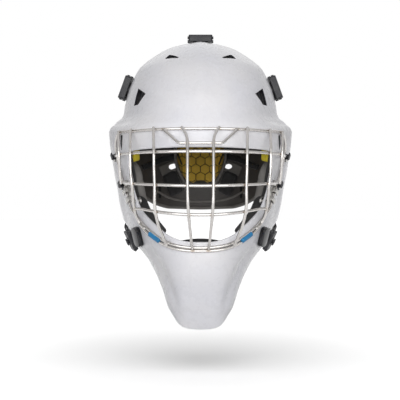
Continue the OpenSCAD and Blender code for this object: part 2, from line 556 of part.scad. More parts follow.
module crown_pad() color(foam_grey) pad([-0.7, 0.7], [0.4, 0.78], pad_depth, crown_pad_t, 8, 10);
module temple_pad() color(foam_grey) pad([2, 3.6], [0.5, 0.73], pad_depth, crown_pad_t, 7, 7);
module temple_pad_left() temple_pad();
module temple_pad_right() mirror([1, 0, 0]) temple_pad();
module jaw_pad() color(foam_grey)
  pad([5.4, 8.6], [0.07, 0.5], pad_depth + liner_t + 0.8 * pad_gap, jaw_pad_t - liner_t, 12, 6);
module jaw_liner() color(foam_dark) difference() {
  union() {
    pad([4.3, 9.2], [0.015, 0.56], pad_depth, liner_t, 13, 5);
    pad([8.8, 10.4], [0.015, 0.19], pad_depth, liner_t, 4, 3);
  }
  at_cage_screws() nut_pocket();
  at_jaw_clip() nut_pocket();
}
module nut_pocket() translate([0, 0, -wall - 12]) cylinder(h = 14, r = nut_r + 0.5, $fn = 24);
module jaw_pad_left() jaw_pad();
module jaw_pad_right() mirror([1, 0, 0]) jaw_pad();
module jaw_liner_left() jaw_liner();
module jaw_liner_right() mirror([1, 0, 0]) jaw_liner();
module temple_tabs() color(foam_yellow) both_sides()
  pad([3.98, 4.95], [0.07, 0.18], pad_depth + liner_t * 0.72 + pad_gap, 8, 5, 3);
module vent_inserts() color(clip_black) both_sides() on_shell(side_vent) difference() {
  translate([0, 0, -wall - 3.6]) hull() for (q = side_vent_outline)
    translate([q.x, q.y, 0]) cylinder(h = 1.8, r = 2.6, $fn = 16);
  for (x = [-5, 0.5]) translate([x, -8, -wall - 5]) cube([3, 13, 5]);
}

// Backplate: follows the back of the head
back_centre = [15, 25];
back_spread = 150;
back_deep = backplate_reach - back_centre[0];
function height_share(z) = abs(z - back_centre[1]) / back_spread;
function back_y(x, z) = back_centre[0] + back_deep
  * pow(max(0, 1 - pow(abs(x) / backplate_half, 2.4) - pow(height_share(z), 2.6)), 1 / 2.2);
function back_normal(x, z) = unit([
  (back_y(x - 1, z) - back_y(x + 1, z)) / 2, 1, (back_y(x, z - 1) - back_y(x, z + 1)) / 2]);
function back_point(x, z, off = 0) = [x, back_y(x, z), z] + off * back_normal(x, z);
// Wrap of the backplate round the head, in degrees each side, level by level
plate_rows = [[-40, 30], [-33, 46], [-15, 66], [20, 80], [70, 80], [105, 66], [130, 46], [147, 27]];
plate_bottom = plate_rows[0][0];
plate_top = plate_rows[len(plate_rows) - 1][0];
function plate_point(k, z, off = 0) =
  let(r = 1 - pow(height_share(z), 2.6), w = k * curve(plate_rows, z))
  let(p = [sign(w) * backplate_half * pow(r * pow(sin(w), 2), 1 / 2.4),
           back_centre[0] + back_deep * pow(r * pow(cos(w), 2), 1 / 2.2), z])
  let(n = unit([2.4 * sign(w) * pow(abs(p.x) / backplate_half, 1.4) / backplate_half,
                2.2 * pow((p.y - back_centre[0]) / back_deep, 1.2) / back_deep,
                2.6 * sign(z - back_centre[1]) * pow(height_share(z), 1.6) / back_spread]))
  p + off * n;
module plate_slab(n, m) {
  function grid(off) = [for (i = [0:n]) [for (j = [0:m])
    plate_point(2 * j / m - 1, mix(plate_bottom, plate_top, i / n), off)]];
  skin(grid(0), grid(-backplate_t));
}
// Block on the inner face of the backplate, with rows of [height, half width] about a centre line
module back_block(rows, depth, thick, n, m, x0 = 0, lean = 0) {
  z0 = rows[0][0];
  z1 = rows[len(rows) - 1][0];
  function grid(lift) = [for (i = [0:n]) [for (j = [0:m])
    let(z = mix(z0, z1, i / n), x = x0 + lean * (z - z0) + (2 * j / m - 1) * curve(rows, z))
    back_point(x, z, -depth - lift * crown(i / n, j / m))]];
  skin(grid(0), grid(thick));
}
module back_cut(x, z, list, r) translate([x, 0, z]) hull() for (q = list)
  translate([q[0], 160, q[1]]) rotate([90, 0, 0]) cylinder(h = 200, r = r, $fn = 16);
strap_slot = 3.2;
side_anchor = [66, 92];
jaw_anchor = [60, -20];
top_anchor_z = 132;
vent_hole = [38, 14];
module backplate() color(plate_grey) difference() {
  plate_slab(12, 18);
  back_cut(0, top_anchor_z - 6, [[-strap_width / 2, 0], [strap_width / 2, 0]], strap_slot / 2);
  for (s = [-1, 1]) {
    back_cut(s * vent_hole[0], vent_hole[1], [[-1.5, 0], [1.5, 1]], 3.4);
    back_cut(s * 24, 86, [[0, -12], [s * 5, 14]], 4);
    for (a = [side_anchor, jaw_anchor])
      back_cut(s * (a[0] - 5), a[1], [[0, -strap_width / 2], [0, strap_width / 2]], strap_slot / 2);
  }
}
// Share of the way round a closed outline, as [side share -1..1, height share 0..1]
function round_outline(k) =
  k < 0.35 ? [1, k / 0.35] : k < 0.5 ? [mix(1, -1, (k - 0.35) / 0.15), 1] :
  k < 0.85 ? [-1, mix(1, 0, (k - 0.5) / 0.35)] : [mix(-1, 1, (k - 0.85) / 0.15), 0];
trim_r = 2.2;
trim_steps = 44;
module backplate_trim() {
  edge = [for (i = [0:trim_steps - 1]) let(q = round_outline(i / trim_steps))
    plate_point(q[0], mix(plate_bottom, plate_top, q[1]), -backplate_t / 2)];
  middle = [for (i = [0:trim_steps - 1]) let(q = round_outline(i / trim_steps))
    plate_point(q[0] * 0.9, mix(plate_bottom, plate_top, mix(0.5, q[1], 0.9)), -backplate_t / 2)];
  path = [for (i = [0:trim_steps - 1]) edge[i] + (trim_r + 0.3) * unit(edge[i] - middle[i])];
  color(plate_grey) sweep(path, round_section(trim_r, 6), [for (p = path) unit(p - [0, 20, 40])], true);
}
nape_bottom = -8;
nape_top = 60;
nape_rows = let(w = nape_pad_width / 2)
  [[nape_bottom, 0.66 * w], [28, w], [44, w], [nape_top, 0.86 * w]];
block_depth = backplate_t + pad_gap;
module nape_pad() color(foam_yellow) back_block(nape_rows, block_depth, nape_pad_t, 10, 10);
module nape_pad_frame() {
  rib = 3;
  out = rib / 2 + 1.5;
  path = [for (i = [0:35]) let(q = round_outline(i / 36), z = mix(nape_bottom, nape_top, q[1]))
    back_point(q[0] * (curve(nape_rows, z) + out), z + (2 * q[1] - 1) * (abs(q[0]) < 1 ? out : out * 0.7),
      -block_depth - 2)];
  color(foam_grey) sweep(path, flat_section(rib, 4), [for (p = path) back_normal(p.x, p.z)], true);
}
wedge_rows = [[-23, 5.5], [-12, 9.5], [0, 9.5], [6, 7]];
wedge_x = 33;
wedge_lean = 0.42;
module backplate_pads() color(webbing_black) both_sides()
  back_block(wedge_rows, block_depth, 5, 5, 4, wedge_x, wedge_lean);

// Straps from the clips to the backplate
strap_seat = 0.3 + strap_t / 2;
function side_key(y, z, lift) = [lifted(on_side(y, z), strap_seat + lift), normal_at(on_side(y, z))];
function back_key(x, z, lift = 0) = [back_point(x, z, strap_seat + lift), back_normal(x, z)];
module strap(keys, width) {
  path = spline([for (k = keys) k[0]], 12);
  ups = spline([for (k = keys) k[1]], 12);
  sweep(path, flat_section(width, strap_t), ups);
}
function crown_key(y, lift) = let(q = [0, y, 0.97 * crown_height - pow(max(0, y - 15), 2) * 0.003])
  [lifted(q, strap_seat + lift), normal_at(q)];
module top_strap() color(webbing_black) strap([crown_key(50.6, 1.2), crown_key(60, 0.6), crown_key(68, 0.6),
  [[0, 78, 161.5], [0, 0.6, 0.8]], back_key(0, 143, 0.8), back_key(0, 134), back_key(0, 126)], strap_width);
module side_strap() color(webbing_black) strap([side_key(43, 112.6, 2.4), side_key(49, 112.2, 4),
  [[90, 58, 108.5], [0.92, 0.32, 0.25]], [[83.5, 65, 102.5], [0.88, 0.4, 0.23]], back_key(73, 95, 1.2),
  back_key(66, 93), back_key(58, 92)], strap_width);
module jaw_strap() color(webbing_black) strap([side_key(-32.5, -78, 1.6), side_key(-20, -76.5, 0.6),
  side_key(-6, -74, 1), side_key(5, -71, 3.4), [[side_x(12, -66) + 0.5, 24, -63], [0.95, 0.3, -0.1]],
  [[87, 44, -46], [0.9, 0.45, 0]], back_key(75, -27, 2.4), back_key(66, -22.5, 0.4),
  back_key(55, -20)], strap_width - 4);
module side_strap_left() side_strap();
module side_strap_right() mirror([1, 0, 0]) side_strap();
module jaw_strap_left() jaw_strap();
module jaw_strap_right() mirror([1, 0, 0]) jaw_strap();
module back_rivet(x, z) {
  p = back_point(x, z);
  n = back_normal(x, z);
  a = unit(cross([0, 0, 1], n));
  b = cross(n, a);
  multmatrix([[a.x, b.x, n.x, p.x], [a.y, b.y, n.y, p.y], [a.z, b.z, n.z, p.z]]) {
    translate([0, 0, strap_t + 0.4]) cylinder(h = 1.4, r = 4.2, $fn = 32);
    translate([0, 0, -backplate_t - 0.6]) cylinder(h = backplate_t + strap_t + 1.2, r = 1.6, $fn = 24);
    translate([0, 0, -backplate_t - 1.2]) cylinder(h = 1, r = 3.4, $fn = 32);
  }
}
module strap_rivets() color(wire_steel) {
  back_rivet(0, top_anchor_z);
  both_sides() {
    back_rivet(side_anchor[0] + 1, side_anchor[1]);
    back_rivet(jaw_anchor[0] + 2, jaw_anchor[1]);
  }
}

// Chin cup, hung on two snap studs in the jaw
snap_y = -70;
snap_z = -0.381 * chin_drop;
snap_reach = 18.6;
snap_x = side_x(snap_y, snap_z) - snap_reach;
eye_t = 2;
snap_clearance = 0.05;
cup_rim = [0, snap_y, snap_z - 12];
cup_depth = 15;
module at_snap() translate([snap_x, snap_y, snap_z]) rotate([0, 90, 0]) children();
module chin_snaps() color(wire_steel) both_sides() at_snap() {
  cylinder(h = 1.6, r = snap_r + 2, $fn = 40);
  translate([0, 0, 1.6]) cylinder(h = eye_t + 0.4, r = snap_r, $fn = 48);
  translate([0, 0, 2 + eye_t]) cylinder(h = 1.2, r = snap_r + 1.6, $fn = 40);
  shank = snap_reach - 4.2 - eye_t;
  translate([0, 0, 3.2 + eye_t]) cylinder(h = shank, r = screw_r, $fn = 32);
}
module bar(a, b, width, thick) {
  x = unit(b - a);
  y = unit(cross([1, 0, 0.35], x));
  z = cross(x, y);
  multmatrix([[x.x, y.x, z.x, a.x], [x.y, y.y, z.y, a.y], [x.z, y.z, z.z, a.z]])
    translate([0, -width / 2, -thick / 2]) cube([norm(b - a), width, thick]);
}
strap_eye_x = snap_x + 1.6 + 0.2;
module chin_straps() color(webbing_black) both_sides() difference() {
  union() {
    translate([strap_eye_x, snap_y, snap_z]) rotate([0, 90, 0]) cylinder(h = eye_t, r = 8, $fn = 48);
    bar([strap_eye_x + eye_t / 2, snap_y, snap_z - 10], [cup_width / 2 + 0.4, cup_rim.y, cup_rim.z - 3.4],
      11, 1.8);
    translate([strap_eye_x, snap_y - 6, snap_z - 11.6]) cube([eye_t, 12, 8]);
  }
  translate([strap_eye_x - 1, snap_y, snap_z]) rotate([0, 90, 0])
    cylinder(h = eye_t + 2, r = snap_r + snap_clearance, $fn = 48);
}
function cup_grid(w, l, z0, depth, hole) = [for (i = [0:19]) [for (j = [0:4])
  let(a = 360 * i / 20, k = mix(hole, 1, j / 4))
  [k * w / 2 * cos(a), cup_rim.y + k * l / 2 * sin(a), z0 - depth * (1 - k * k) - 3 * k * k * pow(cos(a), 2)]]];
cup_t = 2.4;
cup_pad_t = 6;
module chin_cup() color(clip_black)
  skin(cup_grid(cup_width, cup_length, cup_rim.z, cup_depth, 0.16),
       cup_grid(cup_width - 1, cup_length - 1, cup_rim.z + cup_t, cup_depth, 0.16), true);
module chin_cup_pad() color(foam_dark)
  skin(cup_grid(cup_width - 3, cup_length - 3, cup_rim.z + cup_t + 0.3, cup_depth, 0.2),
       cup_grid(cup_width - 6, cup_length - 6, cup_rim.z + cup_t + 2, cup_depth - cup_pad_t + 2, 0.2), true);

shell();
cage_frame();
cage_lower_rail();
cage_crossbars();
cage_brow_wire();
cage_uprights();
cage_hook_clips();
cage_side_clips();
cage_clip_screws();
cage_clip_nuts();
cage_bands();
vent_inserts();
forehead_pad();
crown_pad();
temple_pad_left();
temple_pad_right();
jaw_pad_left();
jaw_pad_right();
jaw_liner_left();
jaw_liner_right();
temple_tabs();
jaw_caps();
clip_bases();
harness_nuts();
top_clip();
side_clip_left();
side_clip_right();
jaw_clip_left();
jaw_clip_right();
backplate();
backplate_trim();
nape_pad();
nape_pad_frame();
backplate_pads();
strap_rivets();
top_strap();
side_strap_left();
side_strap_right();
jaw_strap_left();
jaw_strap_right();
chin_snaps();
chin_cup();
chin_cup_pad();
chin_straps();
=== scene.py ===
import bpy, bmesh, math
import numpy as np
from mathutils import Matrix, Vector


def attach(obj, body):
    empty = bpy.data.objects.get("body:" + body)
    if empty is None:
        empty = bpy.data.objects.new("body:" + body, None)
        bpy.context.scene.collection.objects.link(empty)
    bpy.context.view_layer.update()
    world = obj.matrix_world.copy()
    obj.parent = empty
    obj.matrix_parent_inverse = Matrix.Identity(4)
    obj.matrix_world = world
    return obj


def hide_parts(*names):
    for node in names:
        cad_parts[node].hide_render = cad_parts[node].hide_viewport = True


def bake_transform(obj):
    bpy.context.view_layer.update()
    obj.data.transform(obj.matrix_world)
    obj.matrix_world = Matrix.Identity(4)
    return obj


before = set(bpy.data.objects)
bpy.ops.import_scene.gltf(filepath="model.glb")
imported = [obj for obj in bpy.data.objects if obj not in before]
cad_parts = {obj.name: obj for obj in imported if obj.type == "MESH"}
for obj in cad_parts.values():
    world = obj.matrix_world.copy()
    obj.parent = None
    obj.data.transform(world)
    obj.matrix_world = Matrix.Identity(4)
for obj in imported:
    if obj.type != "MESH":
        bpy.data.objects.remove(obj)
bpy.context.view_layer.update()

mm = 0.001
mergeReach = 2e-6  # metres within which two corners are one
print("stage 1: the frame is loaded")


# camera, light and backdrop
view = {
    "camera": (-0.0006, -1.850, -0.031),  # metres; the lens sits a little below ear height
    "halfFrame": 0.25,  # half the frame's width at the reference plane
    "reach": 1.80,  # distance from the lens to that plane
    "floorZ": -0.238,
}
lamps = [  # name, place, target, size, watts
    ("keyLamp", (0.0, -1.9, 1.25), (0, -0.05, 0.0), (2.0, 1.3), 6),
    ("frontLamp", (0.0, -2.3, 0.3), (0, -0.05, -0.05), (2.6, 0.9), 26),
    ("leftLamp", (-1.9, -0.9, 0.6), (0, -0.05, 0), (0.9, 1.6), 1),
    ("rightLamp", (1.9, -0.9, 0.6), (0, -0.05, 0), (0.9, 1.6), 1),
    ("rearLamp", (0.0, 1.6, 1.3), (0, 0.0, 0.0), (1.8, 1.2), 3),
]
# as the direction's |X| goes from the first number to the second, strength goes from the third to the fourth
worldLight = {
    "soft": (0.3, 0.9, 0.42, 0.04),
    "shine": (0.5, 1.0, 0.8, 0.42),
}
paper = {
    "half": 6, "front": -6, "back": 12,  # its edges in metres
    "grey": (0.6, 0.6, 0.6, 1),
    "middleY": 0.4,
    "lens": (0.0, 4.4, 2.02, 3.98),  # its colour for the lens, from its middle line to 4.4 m away
    "shade": (0.0, 1.0, 1.0, 0.76),  # times this at the middle of a painted shadow under the mask, on the colour for the lens
    "shadePlace": (0, -0.1, 0), "shadeScale": (3.4, 2.6, 0),
}


def linear(hexColour):
    # sRGB hex to linear light: c / 12.92 below 0.04045, else ((c + 0.055) / 1.055) to the power 2.4
    c = np.array([int(hexColour[i:i + 2], 16) for i in (1, 3, 5)]) / 255
    low = c <= 0.04045
    out = np.where(low, c / 12.92, ((c + 0.055) / 1.055) ** 2.4)
    return (*[float(v) for v in out], 1.0)


def addNode(tree, kind, links=None, **settings):
    # one node with its settings; a link is input name or number: (node, output) and a plain value sets the input
    node = tree.nodes.new(kind)
    for key, value in settings.items():
        setattr(node, key, value)
    for key, value in (links or {}).items():
        if isinstance(value, tuple) and len(value) == 2 and hasattr(value[0], "outputs"):
            tree.links.new(value[0].outputs[value[1]], node.inputs[key])
        else:
            node.inputs[key].default_value = value
    return node


def spanInputs(source, span):
    # what a Map Range node is fed: its source, and then From Min, From Max, To Min and To Max
    return {"Value": source, **dict(zip(("From Min", "From Max", "To Min", "To Max"), span))}


def freshTree(holder):
    holder.use_nodes = True
    holder.node_tree.nodes.clear()
    return holder.node_tree


def makeCamera():
    data = bpy.data.cameras.new("frontCamera")
    data.sensor_fit = "HORIZONTAL"
    data.angle = 2 * math.atan(view["halfFrame"] / view["reach"])
    data.clip_end = 50
    camera = bpy.data.objects.new("frontCamera", data)
    camera.location = view["camera"]
    camera.rotation_euler = (math.pi / 2, 0, 0)
    bpy.context.scene.collection.objects.link(camera)
    bpy.context.scene.camera = camera


def makeLamps():
    for name, place, target, size, watts in lamps:
        data = bpy.data.lights.new(name, "AREA")
        data.shape = "RECTANGLE"
        data.size, data.size_y = size
        data.energy = watts
        lamp = bpy.data.objects.new(name, data)
        lamp.location = place
        lamp.rotation_euler = (Vector(target) - Vector(place)).to_track_quat("-Z", "Y").to_euler()
        bpy.context.scene.collection.objects.link(lamp)


def makeWorld():
    # white where the camera or a see-through surface looks; as a light it is soft grey, dimmer from the two sides
    world = bpy.data.worlds.new("studioWorld")
    bpy.context.scene.world = world
    tree = freshTree(world)
    path = addNode(tree, "ShaderNodeLightPath")
    seen = addNode(tree, "ShaderNodeMath", {0: (path, "Is Camera Ray"), 1: (path, "Is Transmission Ray")},
                   operation="MAXIMUM")
    coord = addNode(tree, "ShaderNodeTexCoord")
    split = addNode(tree, "ShaderNodeSeparateXYZ", {0: (coord, "Generated")})
    across = addNode(tree, "ShaderNodeMath", {0: (split, "X")}, operation="ABSOLUTE")
    soft = addNode(tree, "ShaderNodeMapRange", spanInputs((across, 0), worldLight["soft"]))
    shine = addNode(tree, "ShaderNodeMapRange", spanInputs((across, 0), worldLight["shine"]))
    grey = addNode(tree, "ShaderNodeMixRGB", {0: (path, "Is Glossy Ray"), 1: (soft, 0), 2: (shine, 0)})
    colour = addNode(tree, "ShaderNodeMixRGB", {0: (seen, 0), 1: (grey, 0), 2: (1, 1, 1, 1)})
    back = addNode(tree, "ShaderNodeBackground", {"Color": (colour, 0), "Strength": 1.0})
    addNode(tree, "ShaderNodeOutputWorld", {"Surface": (back, 0)})


def makeFloor():
    # a wide sheet of matt paper; for the lens its colour is raised just to white, more where the lamps reach it less,
    # and darkened under the mask by a painted shadow
    side, front, back, z = paper["half"], paper["front"], paper["back"], view["floorZ"]
    mesh = bpy.data.meshes.new("floor")
    mesh.from_pydata([(-side, front, z), (side, front, z), (side, back, z), (-side, back, z)], [], [(0, 1, 2, 3)])
    floor = bpy.data.objects.new("floor", mesh)
    bpy.context.scene.collection.objects.link(floor)
    material = bpy.data.materials.new("studioFloor")
    tree = freshTree(material)
    path = addNode(tree, "ShaderNodeLightPath")
    seen = addNode(tree, "ShaderNodeMath", {0: (path, "Is Camera Ray"), 1: (path, "Is Glossy Ray")},
                   operation="MAXIMUM")
    coord = addNode(tree, "ShaderNodeTexCoord")
    split = addNode(tree, "ShaderNodeSeparateXYZ", {0: (coord, "Object")})
    away = addNode(tree, "ShaderNodeMath", {0: (split, "Y"), 1: paper["middleY"]}, operation="ADD")
    far = addNode(tree, "ShaderNodeMath", {0: (away, 0)}, operation="ABSOLUTE")
    lift = addNode(tree, "ShaderNodeMapRange", spanInputs((far, 0), paper["lens"]))
    # painted shadow: a soft round falloff under the mask that darkens the floor's colour for the lens
    under = addNode(tree, "ShaderNodeMapping", {0: (coord, "Object"), "Location": paper["shadePlace"],
                                                "Scale": paper["shadeScale"]})
    near = addNode(tree, "ShaderNodeTexGradient", {0: (under, 0)}, gradient_type="SPHERICAL")
    paintedShadow = addNode(tree, "ShaderNodeMapRange", spanInputs((near, 1), paper["shade"]))
    white = addNode(tree, "ShaderNodeMath", {0: (lift, 0), 1: (paintedShadow, 0)}, operation="MULTIPLY")
    colour = addNode(tree, "ShaderNodeMixRGB", {0: (seen, 0), 1: paper["grey"], 2: (white, 0)})
    matt = addNode(tree, "ShaderNodeBsdfDiffuse", {"Color": (colour, 0)})
    addNode(tree, "ShaderNodeOutputMaterial", {"Surface": (matt, 0)})
    mesh.materials.append(material)


makeCamera()
makeLamps()
makeWorld()
makeFloor()
bpy.context.scene.view_settings.view_transform = "Standard"
print("stage 2: camera, lamps, world and floor")


# materials
def principled(name, hexColour, **inputs):
    # a Principled surface with its plain values set on the shader's own sockets
    material = bpy.data.materials.new(name)
    tree = freshTree(material)
    shader = addNode(tree, "ShaderNodeBsdfPrincipled", {"Base Color": linear(hexColour), **inputs})
    addNode(tree, "ShaderNodeOutputMaterial", {"Surface": (shader, 0)})
    return material, tree, shader


def noise(tree, scaleMm, detail=3, roughness=0.5):
    # noise whose grains are scaleMm wide, on Object coordinates in metres
    coord = addNode(tree, "ShaderNodeTexCoord")
    return addNode(tree, "ShaderNodeTexNoise", {"Vector": (coord, "Object"), "Scale": 1000 / scaleMm,
                                                "Detail": detail, "Roughness": roughness}), 0


def tint(tree, source, hexA, hexB, fromMin=0.35, fromMax=0.65):
    # a colour between two hex colours that follows a texture
    share = addNode(tree, "ShaderNodeMapRange", spanInputs(source, (fromMin, fromMax, 0.0, 1.0)))
    return addNode(tree, "ShaderNodeMixRGB", {0: (share, 0), 1: linear(hexA), 2: linear(hexB)})


def paint(tree, shader, colour):
    tree.links.new(colour.outputs[0], shader.inputs["Base Color"])


def roughen(tree, shader, source, low, high, fromMin=0.35, fromMax=0.65):
    # the shader's roughness between low and high, following a texture
    rough = addNode(tree, "ShaderNodeMapRange", spanInputs(source, (fromMin, fromMax, low, high)))
    tree.links.new(rough.outputs[0], shader.inputs["Roughness"])


def bump(tree, shader, height, depthMm):
    # height in the texture's own units times depthMm of relief
    node = addNode(tree, "ShaderNodeBump", {"Height": height, "Distance": depthMm * mm, "Strength": 1.0})
    tree.links.new(node.outputs[0], shader.inputs["Normal"])


def gelCoat():
    # sprayed gel coat over a laminate: clear hard gloss, a soft orange peel and a few dull handling marks
    material, tree, shader = principled("glossGelCoat", "#F0F0F5", Roughness=0.3, IOR=1.5,
                                        **{"Coat Weight": 0.25, "Coat Roughness": 0.16})
    paint(tree, shader, tint(tree, noise(tree, 60, 2), "#EFEFF5", "#F3F2F5"))  # broad clouds
    roughen(tree, shader, noise(tree, 9, 6, 0.7), 0.27, 0.34, 0.45, 0.75)  # marks
    bump(tree, shader, noise(tree, 2.4, 2), 0.004)  # peel
    return material


def laminateInside():
    # the open inner face of a glass-fibre laminate: satin resin over a coarse twill
    material, tree, shader = principled("glassFibreLaminate", "#6E6D6B", Roughness=0.42, IOR=1.55)
    coord = addNode(tree, "ShaderNodeTexCoord")
    ways = []
    for turn in (0.785, -0.785):
        way = addNode(tree, "ShaderNodeMapping", {0: (coord, "Object"), "Rotation": (0, 0, turn)})
        ways.append(addNode(tree, "ShaderNodeTexWave", {"Vector": (way, 0), "Scale": 105.0, "Distortion": 1.2,
                                                        "Detail": 1.0}, bands_direction="X"))
    weave = addNode(tree, "ShaderNodeMath", {0: (ways[0], 1), 1: (ways[1], 1)}, operation="MULTIPLY")
    paint(tree, shader, tint(tree, (weave, 0), "#5F5E5C", "#858380", 0.0, 0.6))
    bump(tree, shader, (weave, 0), 0.12)
    return material


def stainless():
    # polished stainless wire: bright, slightly warm, with drawn lines along it and straw tint at the welds
    material, tree, shader = principled("polishedStainlessWire", "#C9C2BB", Metallic=1.0, Roughness=0.2)
    grain = noise(tree, 1.6, 4, 0.6)
    roughen(tree, shader, grain, 0.1, 0.22)
    weld = addNode(tree, "ShaderNodeAttribute", attribute_name="weld")
    base = tint(tree, grain, "#BDB9B6", "#D2CFCC")
    paint(tree, shader, addNode(tree, "ShaderNodeMixRGB", {0: (weld, "Fac"), 1: (base, 0), 2: linear("#8F7C66")}))
    bump(tree, shader, grain, 0.01)
    return material


def platedSteel():
    # bright nickel-plated pressings and screw heads: a little cooler and rougher than the wire
    material, tree, shader = principled("nickelPlatedSteel", "#BDBBB8", Metallic=1.0, Roughness=0.28)
    grain = noise(tree, 0.9, 4, 0.6)
    roughen(tree, shader, grain, 0.2, 0.4)
    bump(tree, shader, grain, 0.008)
    return material


def mouldedPlastic(name, hexColour, hexWorn, grainMm, depthMm, rough):
    # injection-moulded nylon or ABS: spark-eroded grain, slightly paler where hands rub it
    material, tree, shader = principled(name, hexColour, Roughness=rough, IOR=1.5)
    wear = noise(tree, 11, 5, 0.65)
    paint(tree, shader, tint(tree, wear, hexColour, hexWorn, 0.45, 0.75))
    roughen(tree, shader, wear, rough - 0.05, rough + 0.1)
    bump(tree, shader, noise(tree, grainMm, 2), depthMm)
    return material


def foam(name, hexColour, hexDark, rough=0.75):
    # closed-cell foam with a smooth skin: fine cells, broad soft mottling, a little sheen
    material, tree, shader = principled(name, hexColour, Roughness=rough, IOR=1.45,
                                        **{"Sheen Weight": 0.25, "Sheen Roughness": 0.5})
    coord = addNode(tree, "ShaderNodeTexCoord")
    cells = addNode(tree, "ShaderNodeTexVoronoi", {"Vector": (coord, "Object"), "Scale": 1000 / 1.1})
    paint(tree, shader, tint(tree, noise(tree, 14, 4), hexDark, hexColour))
    bump(tree, shader, (cells, "Distance"), 0.07)
    return material


def hexFoam():
    # heat-embossed foam: hexagons with narrow grooves, which the pad's groove attribute holds; in the grooves, slots
    # and notch the yellow turns dark olive as painted shade
    material, tree, shader = principled("embossedYellowFoam", "#B49F2E", Roughness=0.7, IOR=1.45,
                                        **{"Sheen Weight": 0.2})
    groove = addNode(tree, "ShaderNodeAttribute", attribute_name="groove")
    base = tint(tree, noise(tree, 12, 4), "#CDA736", "#DDB540")
    # painted shade: the groove attribute mixes in dark olive where the foam is pressed in
    paint(tree, shader, addNode(tree, "ShaderNodeMixRGB", {0: (groove, "Fac"), 1: (base, 0), 2: linear("#2A2610")}))
    bump(tree, shader, noise(tree, 0.9, 3), 0.05)
    return material


def webbing():
    # woven elastic webbing: ribs across the strap 1.6 mm apart and yarns along it, on the strap's own map
    material, tree, shader = principled("elasticWebbing", "#17171A", Roughness=0.82,
                                        **{"Sheen Weight": 0.35, "Sheen Roughness": 0.4})
    uv = addNode(tree, "ShaderNodeUVMap", uv_map="strapMap")
    ribs = addNode(tree, "ShaderNodeTexWave", {"Vector": (uv, 0), "Scale": 0.2, "Distortion": 0.15},
                   bands_direction="X")
    yarns = addNode(tree, "ShaderNodeTexWave", {"Vector": (uv, 0), "Scale": 0.34, "Distortion": 0.1},
                    bands_direction="Y")
    cross = addNode(tree, "ShaderNodeMath", {0: (ribs, 1), 1: (yarns, 1)}, operation="MULTIPLY")
    paint(tree, shader, tint(tree, (cross, 0), "#0D0D0F", "#2B2B2F", 0.0, 0.9))
    bump(tree, shader, (cross, 0), 0.25)
    return material


finish = {
    "shell": gelCoat(),
    "laminate": laminateInside(),
    "wire": stainless(),
    "steel": platedSteel(),
    "black": mouldedPlastic("grainedBlackNylon", "#1B1B20", "#2A2A30", 0.5, 0.05, 0.45),
    "cap": mouldedPlastic("glossBlackPlastic", "#17171B", "#222227", 3.0, 0.01, 0.14),
    "band": mouldedPlastic("satinBlueSleeve", "#2585BE", "#2B8FCA", 1.2, 0.03, 0.32),
    "plate": mouldedPlastic("satinGreyPlate", "#4A4643", "#524E4B", 0.8, 0.04, 0.48),
    "bead": mouldedPlastic("softGreyBead", "#77736F", "#827E7A", 0.8, 0.04, 0.6),
    "grey": foam("greyFoamSkin", "#8A8784", "#7C7976"),
    "dark": foam("charcoalFoam", "#2C2B2B", "#222122"),
    "tab": foam("yellowFoamTab", "#E0CC30", "#CCB82C"),
    "hex": hexFoam(),
    "strap": webbing(),
    "thread": foam("polyesterThread", "#3A3A3E", "#2C2C30", 0.6),
}
print("stage 3:", len(finish), "materials")


# the mask's form, from the same named sizes as the solids, in millimetres
form = dict(flareWidth=228, skullWidth=206, crownHeight=173.5, browReach=120, chinReach=122, chinDrop=189,
            chinWidth=90, wall=3.5, ridge=1.6, hollow=4.2, openingWidth=179, openingTop=33.5, openingBottom=82.5,
            rearReach=118)
flareHalf, skullHalf, chinHalf = form["flareWidth"] / 2, form["skullWidth"] / 2, form["chinWidth"] / 2
crown, chin, brow = form["crownHeight"], form["chinDrop"], form["browReach"]


def curve(rows, key):
    # smooth curve through rows of [key, value]: cubic pieces whose slopes are harmonic means, so it never overshoots
    x, v = np.array(rows, float).T
    h = np.diff(x)
    g = np.diff(v) / h
    a, b = g[:-1], g[1:]
    middle = np.where(a * b <= 0, 0, 2 * a * b / np.where(a + b == 0, 1, a + b))
    m = np.concatenate([g[:1], middle, g[-1:]])
    k = np.clip(key, x[0], x[-1])
    i = np.clip(np.searchsorted(x, k, side="right") - 1, 0, len(h) - 1)
    t = (k - x[i]) / h[i]
    return (v[i] * (2 * t**3 - 3 * t**2 + 1) + m[i] * h[i] * (t**3 - 2 * t**2 + t)
            + v[i + 1] * (3 * t**2 - 2 * t**3) + m[i + 1] * h[i] * (t**3 - t**2))


def ease(t):
    # 3 t^2 - 2 t^3 between 0 and 1
    s = np.clip(t, 0, 1)
    return s * s * (3 - 2 * s)


def unit(v):
    # each row divided by its own length
    return v / np.linalg.norm(v, axis=-1, keepdims=True)


def splineAt(points, s):
    # Catmull-Rom curve: at whole s it passes through the points; a list that ends on the middle plane is mirrored there
    q = np.array(points, float)
    n = len(q)
    flip = np.array([-1.0] + [1.0] * (q.shape[1] - 1))
    first = q[1] * flip if q[0, 0] == 0 and q[1, 0] != 0 else 2 * q[0] - q[1]
    last = q[-2] * flip if q[-1, 0] == 0 and q[-2, 0] != 0 else 2 * q[-1] - q[-2]
    full = np.vstack([first, q, last])
    s = np.asarray(s, float)
    i = np.clip(np.floor(s).astype(int), 0, n - 2)
    t = (s - i)[..., None]
    a, b, c, d = (full[i + k] for k in range(4))
    return 0.5 * (2 * b + (c - a) * t + (2 * a - 5 * b + 4 * c - d) * t**2 + (3 * b - a - 3 * c + d) * t**3)


def spline(points, steps):
    # that curve at steps + 1 places, evenly spaced in s
    return splineAt(points, np.linspace(0, len(points) - 1, steps + 1))


def shares(rows, size=1):
    # rows of [height, value]: heights below 0 are shares of the chin's drop, others of the crown's height
    return [[k * (chin if k < 0 else crown), v * size] for k, v in rows]


